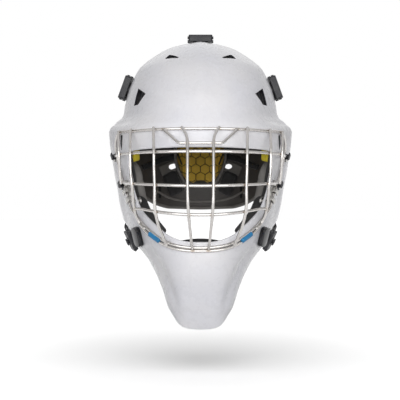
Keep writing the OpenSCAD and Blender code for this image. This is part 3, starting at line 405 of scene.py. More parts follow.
flare = flareHalf - skullHalf
sideRows = shares([(-1, .62), (-.915, .79), (-.863, .91), (-.757, 1.06), (-.654, 1.25), (-.565, 1.47), (-.487, 1.74)],
                  chinHalf)
sideRows += shares([(-.423, .84), (-.344, .905), (-.265, .951), (-.153, .981), (0, 1), (.392, .985), (.438, .966),
                    (.525, .947), (.63, .9), (.72, .84), (.79, .777), (.835, .7), (.9, .546), (.942, .42), (.975, .24)],
                   skullHalf) + [[crown, .5]]
flareRows = shares([(-.265, 0), (-.063, .22), (.13, .68), (.242, 1.05), (.317, 1.15), (.345, .9), (.38, .3), (.415, 0)],
                   flare)
frontRows = shares([(-1, .795), (-.925, .845), (-.794, .918), (-.635, .985), (-.5, 1), (-.4, .998)], form["chinReach"])
frontRows += shares([(0, 1), (.19, .997), (.345, .975), (.43, .94), (.55, .88), (.63, .815), (.75, .68), (.835, .535),
                     (.91, .35), (.965, .15), (1, -.125)], brow)
rearRows = shares([(-1, .4), (-.5, .8), (0, 1), (.6, .96), (.78, .88), (.88, .76), (.95, .58), (.985, .38), (1, .14)],
                  form["rearReach"])
widestRows = shares([(-1, -85), (-.925, -72), (-.794, -52), (-.635, -24), (-.5, 2), (-.344, 12), (0, 22), (.6, 20),
                     (1, 15)])
squareRows = shares([(-1, 2.7), (-.5, 2.5), (0, 2.4), (.32, 2.5), (.45, 2.2), (.8, 2.05), (1, 2)])
# fullness of the flares behind the cage's frame: millimetres added to the half width at each height
swellRows = [[-66, 0], [-57, 2.2], [-35, 3.0], [-20, 3.1], [8, 4.1], [22, 4.1], [38, 3.3], [48, 3.1], [57, 3.8],
             [62, 5.4], [67, 5.4], [73, 2.2], [79, 0]]
channelRows = [[-172, 29], [-150, 34], [-122, 45], [-94, 61]]  # how far out the channel beside the chin runs


def swell(y, z):
    # the curve of swellRows at this height, times the eased share of the way back from y = -46 to -24
    return curve(swellRows, z) * ease((y + 46) / 22)


def halfWidth(y, z):
    # side + flare * (1 - 0.75 ease((y + 15) / 70)) + swell
    return curve(sideRows, z) + curve(flareRows, z) * (1 - .75 * ease((y + 15) / 70)) + swell(y, z)


def inside(p):
    # |x / halfWidth|^n + |depth|^n, below 1 inside the form; levels above the crown or below the chin count as outside
    x, y, z = p[..., 0], p[..., 1], p[..., 2]
    middle, n = curve(widestRows, z), curve(squareRows, z)
    front, rear = middle + curve(frontRows, z), curve(rearRows, z) - middle
    with np.errstate(divide="ignore", invalid="ignore"):  # front is 0 at the very crown, which is outside anyway
        depth = np.where(y < middle, (middle - y) / front, (y - middle) / rear)
    value = np.abs(x / halfWidth(y, z)) ** n + np.abs(depth) ** n
    return np.where((z >= crown) | (z < -1.2 * chin), 9, value)


def cast(d):
    # where a ray from the origin leaves the form, by halving the stretch that holds the crossing
    low, high = np.full(d.shape[:-1], 40.0), np.full(d.shape[:-1], 280.0)
    for _ in range(22):
        middle = (low + high) / 2
        within = inside(d * middle[..., None]) < 1
        low, high = np.where(within, middle, low), np.where(within, high, middle)
    return d * low[..., None]


def bell(value, width):
    # e to the power -(value / width)^2
    return np.exp(-(value / width) ** 2)


def relief(p):
    # soft centre ridge on the dome and hollows beside the chin, in millimetres off the form
    x, z = p[..., 0], p[..., 2]
    ridge = form["ridge"] * bell(x, 8) * ease((z - 60) / 50) * ease((crown + 6 - z) / 12)
    side = (np.abs(x) - curve(channelRows, z)) / 5.5
    hollow = form["hollow"] * np.exp(-side**2) * ease((-z - .42 * chin) / 25) * ease((z + .95 * chin) / 30)
    return ridge - hollow


def outerPoint(target, extra=None):
    # the form's point in the target's direction, moved out along it by the relief and any extra
    d = unit(np.asarray(target, float))
    p = cast(d)
    lift = relief(p) + (extra(p) if extra else 0)
    return p + d * lift[..., None]


def normalAt(target, e=1.5):
    # cross product of two short steps over the surface
    d = unit(np.asarray(target, float))
    up = np.where(np.abs(d[..., 2:]) < .9, np.array([0., 0, 1]), np.array([0., 1, 0]))
    a = unit(np.cross(d, up))
    b = np.cross(a, d)
    return unit(np.cross(outerPoint(d * 100 + a * e) - outerPoint(d * 100 - a * e),
                         outerPoint(d * 100 - b * e) - outerPoint(d * 100 + b * e)))


def frontY(x, z):
    # middle - (middle + front) (1 - |x / halfWidth|^n)^(1 / n): the form solved for y at the front
    middle, n, w = curve(widestRows, z), curve(squareRows, z), halfWidth(-60, z)
    return middle - (middle + curve(frontRows, z)) * np.maximum(0, 1 - np.minimum(1, np.abs(x) / w) ** n) ** (1 / n)


def sideX(y, z):
    # halfWidth (1 - depth^n)^(1 / n): the form solved for x
    middle, n = curve(widestRows, z), curve(squareRows, z)
    front, rear = middle + curve(frontRows, z), curve(rearRows, z) - middle
    d = np.where(y < middle, (middle - y) / front, (y - middle) / rear)
    return halfWidth(y, z) * np.maximum(0, 1 - np.minimum(1, d) ** n) ** (1 / n)


openHalf, openTop, openLow = form["openingWidth"] / 2, form["openingTop"], form["openingBottom"]
# from the middle of the brow down to the chin: the opening's edge as [x, z], the rear edge as directions
openingEdge = np.array([
    [0, openTop], [.3 * openHalf, openTop - .2], [.62 * openHalf, openTop - 1.4], [.89 * openHalf, openTop - 3.2],
    [.99 * openHalf, openTop - 6.4], [openHalf, openTop - 18], [.965 * openHalf, openTop - 37],
    [.938 * openHalf, openTop - 53], [.838 * openHalf, -.505 * openLow], [.693 * openHalf, -.682 * openLow],
    [.56 * openHalf, -.806 * openLow], [.45 * openHalf, -.898 * openLow], [.3 * openHalf, -.964 * openLow],
    [.15 * openHalf, -.994 * openLow], [0, -openLow],
])
rearEdge = np.array([
    [0, 70, .93 * crown], [.34 * skullHalf, 66, .88 * crown], [.62 * skullHalf, 58, .77 * crown],
    [.83 * skullHalf, 50, .62 * crown], [.95 * skullHalf, 44, .46 * crown], [skullHalf, 38, .28 * crown],
    [skullHalf, 28, .08 * crown], [skullHalf, 20, -.08 * chin], [.95 * skullHalf, 16, -.24 * chin],
    [.9 * skullHalf, 12, -.35 * chin], [.78 * skullHalf, 0, -.465 * chin], [.6 * skullHalf, -30, -.575 * chin],
    [.455 * skullHalf, -62, -.74 * chin], [.275 * skullHalf, -90, -.935 * chin],
    [0, -.8 * form["chinReach"], -chin],
])
lastKey = len(openingEdge) - 1


def place(s, t, extra=None):
    # the shell as a function of s, down one side from brow to chin (negative on the right), and t, from opening to rear
    s, t = np.broadcast_arrays(np.asarray(s, float), np.asarray(t, float))
    edge = splineAt(openingEdge, np.abs(s))
    a = unit(np.stack([edge[..., 0], frontY(edge[..., 0], edge[..., 1]), edge[..., 1]], -1))
    b = unit(splineAt(rearEdge, np.abs(s)))
    angle = np.arccos(np.clip((a * b).sum(-1), -1, 1))[..., None]
    d = (np.sin((1 - t[..., None]) * angle) * a + np.sin(t[..., None] * angle) * b) / np.sin(angle)
    p = outerPoint(d, extra)
    return p * np.stack([np.where(s < 0, -1.0, 1.0), np.ones_like(s), np.ones_like(s)], -1)


def gridNormal(p, wrap=False):
    # normals of a grid of points from the differences of its neighbours, turned away from the origin
    if wrap:
        a = np.roll(p, -1, 0) - np.roll(p, 1, 0)
    else:
        a = np.gradient(p, axis=0)
    n = unit(np.cross(a, np.gradient(p, axis=1)))
    return n * np.sign((n * p).sum(-1, keepdims=True))


def linked(name, mesh):
    obj = bpy.data.objects.new(name, mesh)
    bpy.context.scene.collection.objects.link(obj)
    return obj


def newObject(name, points, faces, material, smooth=True):
    # a mesh from points in millimetres; its faces are turned outwards if its signed volume comes out negative
    mesh = bpy.data.meshes.new(name)
    mesh.from_pydata((np.asarray(points) * mm).tolist(), [], faces if isinstance(faces, list) else faces.tolist())
    b = bmesh.new()
    b.from_mesh(mesh)
    bmesh.ops.remove_doubles(b, verts=b.verts, dist=mergeReach)
    if b.calc_volume(signed=True) < 0:
        bmesh.ops.reverse_faces(b, faces=b.faces)
    b.to_mesh(mesh)
    b.free()
    mesh.materials.append(material)
    obj = linked(name, mesh)
    if smooth:
        mesh.shade_smooth()
    return obj


def declare(obj, body, slot, *nodes):
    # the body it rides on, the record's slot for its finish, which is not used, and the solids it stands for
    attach(obj, body)
    if nodes:
        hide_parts(*nodes)


def quads(rows, cols, wrapRows=False, wrapCols=False, start=0):
    # the four corners of each cell of a grid of points, as one array of faces
    i = np.arange(rows if wrapRows else rows - 1)[:, None]
    j = np.arange(cols if wrapCols else cols - 1)[None, :]
    ni, nj = (i + 1) % rows, (j + 1) % cols
    return (start + np.stack([i * cols + j, ni * cols + j, ni * cols + nj, i * cols + nj], -1)).reshape(-1, 4)


def capped(rows, cols, start=0):
    # the faces of a closed bar: a grid that wraps round its columns, and one face over each end
    last = start + rows * cols - 1
    ends = [list(range(start, start + cols)), list(range(last, last - cols, -1))]
    return quads(rows, cols, False, True, start).tolist() + ends


def slabPoints(outer, inner, rim=5, bulge=1.0, wrapRows=False):
    # a wall as a loop in each row: the outer face, a rounded edge, the inner face back, a rounded edge
    def edge(a, b, away):
        angle = np.linspace(0, np.pi, rim + 2)[1:-1][None, :, None]
        middle, half = ((a + b) / 2)[:, None], ((a - b) / 2)[:, None]
        return middle + half * np.cos(angle) + away[:, None] * bulge * np.sin(angle)
    far = edge(outer[:, -1], inner[:, -1], unit(outer[:, -1] - outer[:, -2]))
    near = edge(inner[:, 0], outer[:, 0], unit(outer[:, 0] - outer[:, 1]))
    return np.concatenate([outer, far, inner[:, ::-1], near], 1)


# shell
shellCut = dict(steps=150, columns=92, rim=5, crownVent=[34, -48, 147], sideVent=[74, -58, 95.6], cornerRound=.8,
                crownOutline=[(-8.6, -3.2, 1.4), (7.4, 3.4, 2.2), (8.6, -3.2, 1.4)],
                sideOutline=[(10.2, 10.2), (-12.3, 2.2), (-1.5, -10.6), (9, -11)],
                slots=[((97.6, 48), (98.8, 32), 1.4), ((104, 49), (104.8, 43), 1.2)], slotDepth=6, sharp=38)


def onShell(target, up=(0, 0, 1)):
    # frame on the shell: columns x, y up the surface, n outwards, and the place itself
    p, n = outerPoint(np.array(target, float)), normalAt(np.array(target, float))
    x = unit(np.cross(np.array(up, float), n))
    return x, np.cross(n, x), n, p


def prism(name, outline, axes, depth=14, lift=8, material="shell"):
    # a straight cutter from a closed outline of [x, y] in a frame of x, y, outward direction and place
    x, y, n, p = axes
    q = np.array(outline)
    ring = p + q[:, :1] * x + q[:, 1:] * y
    points = np.vstack([ring - n * depth, ring + n * lift])
    return newObject(name, points, capped(2, len(q)), finish[material], smooth=False)


def hullOutline(circles, steps=10):
    # outline round a few circles of [x, y, r]: the widest of them in each direction, joined into a rounded polygon
    angle = np.linspace(0, 2 * np.pi, 12 * steps, endpoint=False)
    d = np.stack([np.cos(angle), np.sin(angle)], -1)
    c = np.array(circles, float)
    best = (d @ c[:, :2].T + c[:, 2]).argmax(1)
    return c[best, :2] + d * c[best, 2:]


def readPoints(mesh):
    # all vertices of a mesh as rows of millimetres
    co = np.empty(len(mesh.vertices) * 3)
    mesh.vertices.foreach_get("co", co)
    return co.reshape(-1, 3) / mm


def writePoints(mesh, co):
    # rows of millimetres back into the mesh
    mesh.vertices.foreach_set("co", (co * mm).ravel())
    mesh.update()


def mirrored(obj, name):
    # the same mesh across the middle plane, with its faces turned back outwards
    mesh = obj.data.copy()
    writePoints(mesh, readPoints(mesh) * [-1, 1, 1])
    mesh.flip_normals()
    return linked(name, mesh)


def applyAll(obj):
    # the object as its modifiers leave it, as plain mesh
    bpy.context.view_layer.update()
    graph = bpy.context.evaluated_depsgraph_get()
    mesh = bpy.data.meshes.new_from_object(obj.evaluated_get(graph), preserve_all_data_layers=True, depsgraph=graph)
    obj.modifiers.clear()
    obj.data = mesh


def cutAway(obj, cutters, keepFinish=False):
    # the object less its cutters; with keepFinish the walls of a cut take the cutter's own finish
    for cutter in cutters:
        step = obj.modifiers.new("cut", "BOOLEAN")
        step.object, step.operation, step.solver = cutter, "DIFFERENCE", "EXACT"
        step.material_mode = "TRANSFER" if keepFinish else "INDEX"
    applyAll(obj)
    for cutter in cutters:
        bpy.data.objects.remove(cutter)


def softShade(obj, degrees):
    # smooth faces, with edges sharper than the angle kept crisp
    obj.data.shade_smooth()
    obj.data.set_sharp_from_angle(angle=math.radians(degrees))


def shellDetail(p):
    # fine relief of the moulding: shallow scoops below the side vents and crests from the crown corners to the brow
    x, y, z = np.abs(p[..., 0]), p[..., 1], p[..., 2]
    scoop = 1.1 * bell(x - 84, 13) * bell(z - 92, 20) * ease((-y - 20) / 40)
    crest = 0.8 * bell(z - (78 + 0.62 * (x - 20)), 7) * ease((x - 8) / 30) * ease((84 - x) / 20) * ease(-y / 60)
    return crest - scoop


def makeShell():
    steps, columns, rim = shellCut["steps"], shellCut["columns"], shellCut["rim"]
    half = np.linspace(0, lastKey, steps + 1)
    s = np.concatenate([half, -half[1:-1][::-1]])
    u = np.linspace(0, 1, columns + 1)
    outer = place(s[:, None], (ease(u) * .35 + u * .65)[None, :], shellDetail)  # columns closer at both edges
    inner = outer - form["wall"] * gridNormal(outer, wrap=True)
    p = slabPoints(outer, inner, rim)
    rows, cols = p.shape[:2]
    shell = newObject("shellMoulding", p.reshape(-1, 3), quads(rows, cols, True, True), finish["shell"])
    shell.data.materials.append(finish["laminate"])
    column = np.tile(np.arange(cols), rows)
    firstInner = columns + 1 + rim
    within = (column >= firstInner) & (column < firstInner + columns)
    shell.data.polygons.foreach_set("material_index", within.astype(np.int32))
    outlines = [(shellCut["crownVent"], shellCut["crownOutline"]),
                (shellCut["sideVent"], [(*q, shellCut["cornerRound"]) for q in shellCut["sideOutline"]])]
    cutters = [prism(f"vent{k}", hullOutline(circles), onShell(target), material="black")
               for k, (target, circles) in enumerate(outlines)]
    for k, (a, b, r) in enumerate(shellCut["slots"]):
        spot = np.array([0., float(frontY(*a)), 0])
        axes = (np.array([1., 0, 0]), np.array([0., 0, 1]), np.array([0., -1, 0]), spot)
        outline = hullOutline([(*a, r), (*b, r)])
        cutters.append(prism(f"slot{k}", outline, axes, shellCut["slotDepth"], material="black"))
    cutAway(shell, cutters + [mirrored(c, c.name + "Right") for c in cutters], keepFinish=True)
    softShade(shell, shellCut["sharp"])
    declare(shell, "mask", "shell_gelcoat", "shell")


makeShell()
print("stage 4: shell")


# cage: the wire's thickness, its gap off the shell, the bulge of the bars and their heights, in millimetres
cage = dict(wire=3.5, gap=0.3, bulge=38, topRail=54.7, eyeBar=26.5, midBar=-14.3, lowBar=-48.5, bottomRail=-88.5,
            weldSink=0.5, sides=18, weldReach=2.6)
sleeve = dict(length=18, at=3.7, keyStep=17, out=.8, down=2.0, wall=.9, lip=.12, oval=.25, rows=41, sides=32)
wireR = cage["wire"] / 2
frameLift = cage["gap"] + wireR
weldStep = cage["wire"] - cage["weldSink"]
topZ, eyeZ, midZ, lowZ, bottomZ = (cage[key] for key in ("topRail", "eyeBar", "midBar", "lowBar", "bottomRail"))
bulgeRows = [[bottomZ, 0], [-70, .52], [lowZ, .88], [midZ, 1], [eyeZ, .82], [41, .5], [topZ, 0]]
reachRows = [[bottomZ, 60], [-70, 66], [lowZ, 78], [midZ, 100], [eyeZ, 108], [41, 106], [topZ, 101]]


def lifted(target, off):
    # the shell's point in that direction, moved off along its normal
    target = np.array(target, float)
    return outerPoint(target) + off * normalAt(target)


def onFront(x, z):
    # a point of the front by its x and z
    return [x, float(frontY(x, z)), z]


def onSide(y, z):
    # a point of the side by its y and z
    return [float(sideX(y, z)), y, z]


def cageY(x, z):
    # the shell's front, moved forward by the bulge for that height, faded towards the sides
    fade = np.sqrt(np.maximum(0, 1 - (np.abs(x) / curve(reachRows, z)) ** 8))
    return frontY(x, z) - frameLift - cage["bulge"] * curve(bulgeRows, z) * fade


def cagePoint(x, z, off=0):
    # (x, Y, z) moved forward by off along (dY/dx, -1, dY/dz), with Y the cage's own surface
    dx = (cageY(x + 1, z) - cageY(x - 1, z)) / 2
    dz = (cageY(x, z + 1) - cageY(x, z - 1)) / 2
    return np.array([x, cageY(x, z), z], float) + off * unit(np.array([dx, -1, dz], float))


def whole(half):
    # the mirrored half, then the half itself, with the middle point once
    half = np.array(half, float)
    return np.vstack([half[:0:-1] * [-1, 1, 1], half])


def tubePoints(path, radius, ups, sides, closed=False, dome=True):
    # a circle carried along a path: centre + r (cos a * side + sin a * up); closed ends get a low dome
    if closed:
        t = unit(np.roll(path, -1, 0) - np.roll(path, 1, 0))
    else:
        t = unit(np.gradient(path, axis=0))
    side = unit(np.cross(ups, t))
    up = np.cross(t, side)
    r = np.broadcast_to(np.asarray(radius, float), (len(path),))
    if dome and not closed:
        k = np.array([.0, .45, .8])
        head = path[:1] - t[:1] * (np.cos(np.arcsin(k)) * r[0] * .5)[:, None]
        tail = path[-1:] + t[-1:] * (np.cos(np.arcsin(k)) * r[-1] * .5)[::-1, None]
        path = np.vstack([head, path, tail])
        side = np.vstack([np.repeat(side[:1], 3, 0), side, np.repeat(side[-1:], 3, 0)])
        up = np.vstack([np.repeat(up[:1], 3, 0), up, np.repeat(up[-1:], 3, 0)])
        r = np.concatenate([r[0] * np.maximum(k, .02), r, r[-1] * np.maximum(k, .02)[::-1]])
    angle = np.linspace(0, 2 * np.pi, sides, endpoint=False)[None, :, None]
    return path[:, None] + r[:, None, None] * (np.cos(angle) * side[:, None] + np.sin(angle) * up[:, None])


def tubes(name, paths, radius, material, closed=False, sides=None, ups=None):
    # several tubes as one mesh
    points, faces, start = [], [], 0
    for k, path in enumerate(paths):
        up = unit(path) if ups is None else ups[k]
        p = tubePoints(path, radius, up, sides or cage["sides"], closed)
        rows, cols = p.shape[:2]
        faces += quads(rows, cols, True, True, start).tolist() if closed else capped(rows, cols, start)
        points.append(p.reshape(-1, 3))
        start += rows * cols
    return newObject(name, np.vstack(points), faces, material)


def markWelds(obj, spots):
    # attribute weld: 0.75 (1.35 - distance / reach) held between 0 and 0.75, by the nearest weld spot
    near = np.min(np.linalg.norm(readPoints(obj.data)[:, None] - np.array(spots)[None], axis=-1), 1)
    layer = obj.data.attributes.new("weld", "FLOAT", "POINT")
    layer.data.foreach_set("value", (0.75 * np.clip(1.35 - near / cage["weldReach"], 0, 1)).astype(np.float32))


# the wires' keys on one side, from the middle outwards; the frame's run down it to the middle of the bottom
frameKeys = [onFront(x, topZ - d) for x, d in ((0, 0), (30, .2), (58, .8), (82, 1.7))]
frameKeys += [onSide(y, z) for y, z in ((-68, topZ - 2.4), (-55, 43), (-45, eyeZ - 1), (-50, 6), (-58, 4 + midZ),
                                        (-67, -26))]
frameKeys += [onFront(x, z) for x, z in ((84.5, -39), (76.5, -50.5), (68, -60.5), (57, -70.5), (45, -78.8),
                                         (30, -85.2))]
frameKeys += [onFront(x, bottomZ + x / 14 * .6) for x in (14, 0)]
frameHalf = np.array([lifted(p, frameLift) for p in frameKeys])
frameLine = spline(np.vstack([frameHalf, frameHalf[-2::-1] * [-1, 1, 1]]), 320)[:-1]
lowerHalf = [lifted(onFront(x, bottomZ - d), frameLift)
             for x, d in ((0, 3.7), (15, 3.3), (31, .5), (46, -5.6), (58.5, -14.3), (66, -20.8), (71, -25.5))]
eyeHalf = [cagePoint(x, eyeZ - x * x / 6000) for x in (0, 22, 43, 62, 78, 90, 99)]
eyeHalf += [lifted(onSide(-46, eyeZ - 2), frameLift + weldStep)]
midHalf = [cagePoint(x, x * x / 2200 + midZ) for x in (0, 22, 43, 61, 75, 86)]
midHalf += [lifted(onSide(-60, 5 + midZ), frameLift + weldStep)]
lowHalf = [cagePoint(x, z + lowZ, weldStep if x > 75 else 0)
           for x, z in ((0, 0), (22, .6), (42, 2.4), (58, 4.6), (70, 6.6), (78, 8.2))]
browHalf = [cagePoint(x, z) for x, z in ((0, 36.6), (20, 36.6), (26.5, 37.4), (35, 45), (44.5, topZ - .6))]
uprightRows = [
    [(98.5, topZ - 2.4), (98, 40), (97, eyeZ), (96, 5), (94.5, -10.3)],
    [(83.5, topZ - 1.6), (82.3, 30), (81.5, 4), (79.5, -14.3), (77, -41), (71.5, -57), (65, -64)],
    [(56, topZ - .7), (54.2, 30), (53.6, 10), (52.7, -14.3), (52.3, -40), (48.5, -59), (44, -71.5), (39.3, -84)],
    [(22.2, topZ - .1), (18, 46.5), (15.6, 37.6), (15.1, 20), (15, -14.3), (14.1, -43), (11.4, -72), (9.6, -87.9)],
]


def weldSpots(ups, lines, barEnds):
    # where an upright passes another wire closely, and both ends of each bar
    spots = []
    for u in ups:
        for line in lines:
            gap = np.linalg.norm(u[:, None] - line[None], axis=-1)
            i, j = np.unravel_index(gap.argmin(), gap.shape)
            if gap[i, j] < weldStep + 1.2:
                spots.append((u[i] + line[j]) / 2)
    return spots + barEnds


def makeCage():
    bars = [spline(whole(half), steps) for half, steps in ((eyeHalf, 150), (midHalf, 150), (lowHalf, 120))]
    brow, lower = spline(whole(browHalf), 90), spline(whole(lowerHalf), 120)
    ups = [spline([cagePoint(x, z, weldStep) for x, z in row], 90) for row in uprightRows]
    ups += [u * [-1, 1, 1] for u in ups]
    barEnds = [end for line in [*bars, brow] for end in (line[0], line[-1])]
    spots = weldSpots(ups, [frameLine, *bars, brow, lower], barEnds)
    for name, node, paths in (("cageFrame", "cage_frame", [frameLine]), ("cageLowerRail", "cage_lower_rail", [lower]),
                              ("cageCrossbars", "cage_crossbars", bars), ("cageBrowWire", "cage_brow_wire", [brow]),
                              ("cageUprights", "cage_uprights", ups)):
        obj = tubes(name, paths, wireR, finish["wire"], closed=name == "cageFrame")
        markWelds(obj, spots)
        declare(obj, "mask", "cage_wire", node)


def makeBands():
    # sleeves round the bottom rail: a circle swollen to rounded lips at both ends, wider across than up
    rows, sides = sleeve["rows"], sleeve["sides"]
    share = sleeve["at"] + np.linspace(-.5, .5, rows) * sleeve["length"] / sleeve["keyStep"]
    path = splineAt(np.array(lowerHalf), share)
    side = unit(np.cross(unit(path), unit(np.gradient(path, axis=0))))
    path = path + sleeve["out"] * unit(path) + sleeve["down"] * side
    k = np.linspace(-1, 1, rows)
    radius = wireR + sleeve["wall"] - .7 * np.abs(k) ** 14 + sleeve["lip"] * bell(np.abs(k) - .8, .07)
    p = tubePoints(path, radius, unit(path), sides, dome=False)
    p = p + sleeve["oval"] * ((p - path[:, None]) * side[:, None]).sum(-1, keepdims=True) * side[:, None]
    left = newObject("cageBandLeft", p.reshape(-1, 3), capped(rows, sides), finish["band"])
    right = mirrored(left, "cageBandRight")
    declare(left, "mask", "band_plastic", "cage_bands")
    declare(right, "mask", "band_plastic")


makeCage()
makeBands()
print("stage 5: cage")


# padding: where each pad lies by s and t of the shell, its depth under the outer face, thickness, edge and channels
padCut = dict(
    forehead=dict(s=(-2.5, 2.5), t=(.02, .26), depth=4.5, thick=17, cells=(110, 40), edge=.34,
                  grooves=[(0, at, .02, 1.6) for at in (-.62, -.22, .22, .62)]),
    crown=dict(s=(-.7, .7), t=(.4, .78), depth=4.5, thick=15, cells=(44, 60), edge=.3,
               grooves=[(1, -.3, .03, 1.5), (1, .34, .03, 1.5)]),
    temple=dict(s=(2, 3.6), t=(.5, .73), depth=4.5, thick=15, cells=(56, 44), edge=.3, grooves=[(0, 0, .03, 1.5)]),
    liner=dict(s=(4.3, 9.2), t=(.015, .56), depth=4.5, thick=5.5, cells=(110, 60), edge=.1, grooves=[]),
    jaw=dict(s=(5.4, 8.6), t=(.07, .5), depth=10.8, thick=11.5, cells=(90, 56), edge=.28,
             grooves=[(0, -.4, .02, 1.4), (0, .42, .02, 1.4)]),
    chinLiner=dict(s=(7.3, 10.3), t=(.014, .068), depth=4.5, thick=13, cells=(70, 24), edge=.22, grooves=[]),
    tab=dict(s=(3.75, 5.15), t=(.02, .12), depth=9.5, thick=9, cells=(26, 22), edge=.15, grooves=[]),
)
padPieces = [  # row of padCut, piece, material, slot, and the nodes of a single pad or of a left and a right one
    ("forehead", "foreheadPad", "dark", "dark_foam", ["forehead_pad"]),
    ("crown", "crownPad", "grey", "grey_foam", ["crown_pad"]),
    ("temple", "templePad", "grey", "grey_foam", ["temple_pad_left"], ["temple_pad_right"]),
    ("liner", "jawLiner", "dark", "dark_foam", ["jaw_liner_left"], ["jaw_liner_right"]),
    ("jaw", "jawPad", "grey", "grey_foam", ["jaw_pad_left"], ["jaw_pad_right"]),
    ("chinLiner", "chinLiner", "dark", "dark_foam", [], []),
    ("tab", "templeTab", "tab", "yellow_foam", ["temple_tabs"], []),
]


def slab(name, upper, lower, material, rim=3, bulge=.4):
    # two grids of points joined round their border, with rim extra rows that swell outwards by bulge
    n, m = upper.shape[:2]
    index = np.arange(n * m).reshape(n, m)
    border = np.concatenate([index[0, :-1], index[:-1, -1], index[-1, :0:-1], index[:0:-1, 0]])
    row, col = np.divmod(border, m)
    a, b = upper[row, col], lower[row, col]
    away = unit(a - upper[np.clip(row, 1, n - 2), np.clip(col, 1, m - 2)])
    turns = np.linspace(0, np.pi, rim + 2)[1:-1, None, None]
    wall = (a + b) / 2 + (a - b) / 2 * np.cos(turns) + away * bulge * np.sin(turns)
    size, ring = n * m, len(border)
    levels = [border] + [2 * size + k * ring + np.arange(ring) for k in range(rim)] + [size + border]
    faces = quads(n, m).tolist() + quads(n, m, start=size)[:, ::-1].tolist()
    for p, q in zip(levels[:-1], levels[1:]):
        faces += np.stack([p, np.roll(p, -1), np.roll(q, -1), q], -1).tolist()
    return newObject(name, np.vstack([g.reshape(-1, 3) for g in (upper, lower, wall)]), faces, material)


def softSquare(cells, power=5.0):
    # a grid of (a, b) from -1 to 1, its rows closer at the edge, whose border is the rounded square
    # |a|^power + |b|^power = 1, and the level of each point, which is 1 on that border
    u, v = (np.linspace(-1, 1, k) for k in cells)
    u, v = np.meshgrid(.55 * u + .45 * np.sin(u * np.pi / 2), .55 * v + .45 * np.sin(v * np.pi / 2), indexing="ij")
    q = np.maximum(np.abs(u), np.abs(v))
    norm = (np.abs(u) ** power + np.abs(v) ** power) ** (1 / power)
    f = 1 + (q / np.maximum(norm, 1e-6) - 1) * q**2
    a, b = u * f, v * f
    return a, b, np.clip((np.abs(a) ** power + np.abs(b) ** power) ** (1 / power), 0, 1)


def cushion(name, spot, cut, material, body, slot, nodes, extra=None):
    # a foam pad on a surface: its top rises from a low side wall in a quarter ellipse, less its pressed channels
    a, b, level = softSquare(cut["cells"])
    base, n = spot(a, b)
    rise = np.sqrt(1 - np.clip((level - 1 + cut["edge"]) / cut["edge"], 0, 1) ** 2)
    lift = cut["thick"] * (.3 + .7 * rise)
    for axis, at, width, deep in cut["grooves"]:
        lift = lift - deep * bell((a, b)[axis] - at, width) * rise
    if extra is not None:
        lift = lift - extra(base, rise)
    pad = slab(name, base - n * (cut["depth"] + lift[..., None]), base - n * cut["depth"], material)
    declare(pad, body, slot, *nodes)
    return pad


def cushionPair(name, spot, cut, material, body, slot, leftNodes, rightNodes):
    left = cushion(name + "Left", spot, cut, material, body, slot, leftNodes)
    right = mirrored(left, name + "Right")
    declare(right, body, slot, *rightNodes)


def shellSpot(cut):
    # places and normals on the shell for (a, b), which run from -1 to 1 over the pad's s and t
    (s0, s1), (t0, t1) = cut["s"], cut["t"]

    def spot(a, b):
        base = place(s0 + (a + 1) / 2 * (s1 - s0), t0 + (b + 1) / 2 * (t1 - t0))
        return base, normalAt(base)
    return spot


def makePads():
    for key, name, material, slot, *nodes in padPieces:
        make = cushion if len(nodes) == 1 else cushionPair
        make(name, shellSpot(padCut[key]), padCut[key], finish[material], "mask", slot, *nodes)


makePads()
print("stage 6: padding")


# backplate
plate = dict(reach=116, half=90, thick=3, centre=(15, 25), spread=150, bottom=-40, top=147, cells=(110, 170), rim=3,
             bulge=.6, sharp=38, bead=2.2, beadOut=2.3, beadSides=14, beadSteps=360, slotRound=1.6)
plateDeep = plate["reach"] - plate["centre"][0]
wrapRows = [[-40, 30], [-33, 46], [-15, 66], [20, 80], [70, 80], [105, 66], [130, 46], [147, 27]]
napeCut = dict(rows=[[-8, 21.8], [28, 33], [44, 33], [60, 28.4]], depth=4, thick=9, cells=(120, 120), edge=.16,
               grooves=[], across=12.5, groove=1.1, slash=((30.5, 31), (25.4, 17.5)), notch=(0, -8, 9, 4))
wedgeCut = dict(depth=4.0, thick=5, cells=(34, 40), edge=.22, grooves=[])
plateVent = (38, 14, [(-1.5, 0, 3.4), (1.5, 1, 3.4)])
strapEnds = dict(side=(66, 92), jaw=(60, -20), top=132)
strapSlots = dict(top=11, side=11, jaw=7)  # half the length of the slots beside the straps' ends


def heightShare(z):
    # |z - centre| / spread
    return np.abs(z - plate["centre"][1]) / plate["spread"]


def backY(x, z):
    # the back of the head as a rounded box: deep * (1 - |x / half|^2.4 - share^2.6)^(1 / 2.2) behind its centre
    room = 1 - (np.abs(x) / plate["half"]) ** 2.4 - heightShare(z) ** 2.6
    return plate["centre"][0] + (plate["reach"] - plate["centre"][0]) * np.maximum(0, room) ** (1 / 2.2)


def backNormal(x, z):
    # the direction (-dY/dx, 1, -dY/dz) of the surface y = Y(x, z), from its differences over 2 mm
    across, up = (backY(x - 1, z) - backY(x + 1, z)) / 2, (backY(x, z - 1) - backY(x, z + 1)) / 2
    return unit(np.stack([across, np.ones_like(x), up], -1))


def backPoint(x, z, off=0.0):
    # (x, Y(x, z), z) moved off along the normal
    x, z = np.broadcast_arrays(np.asarray(x, float), np.asarray(z, float))
    return np.stack([x, backY(x, z), z], -1) + np.asarray(off)[..., None] * backNormal(x, z)


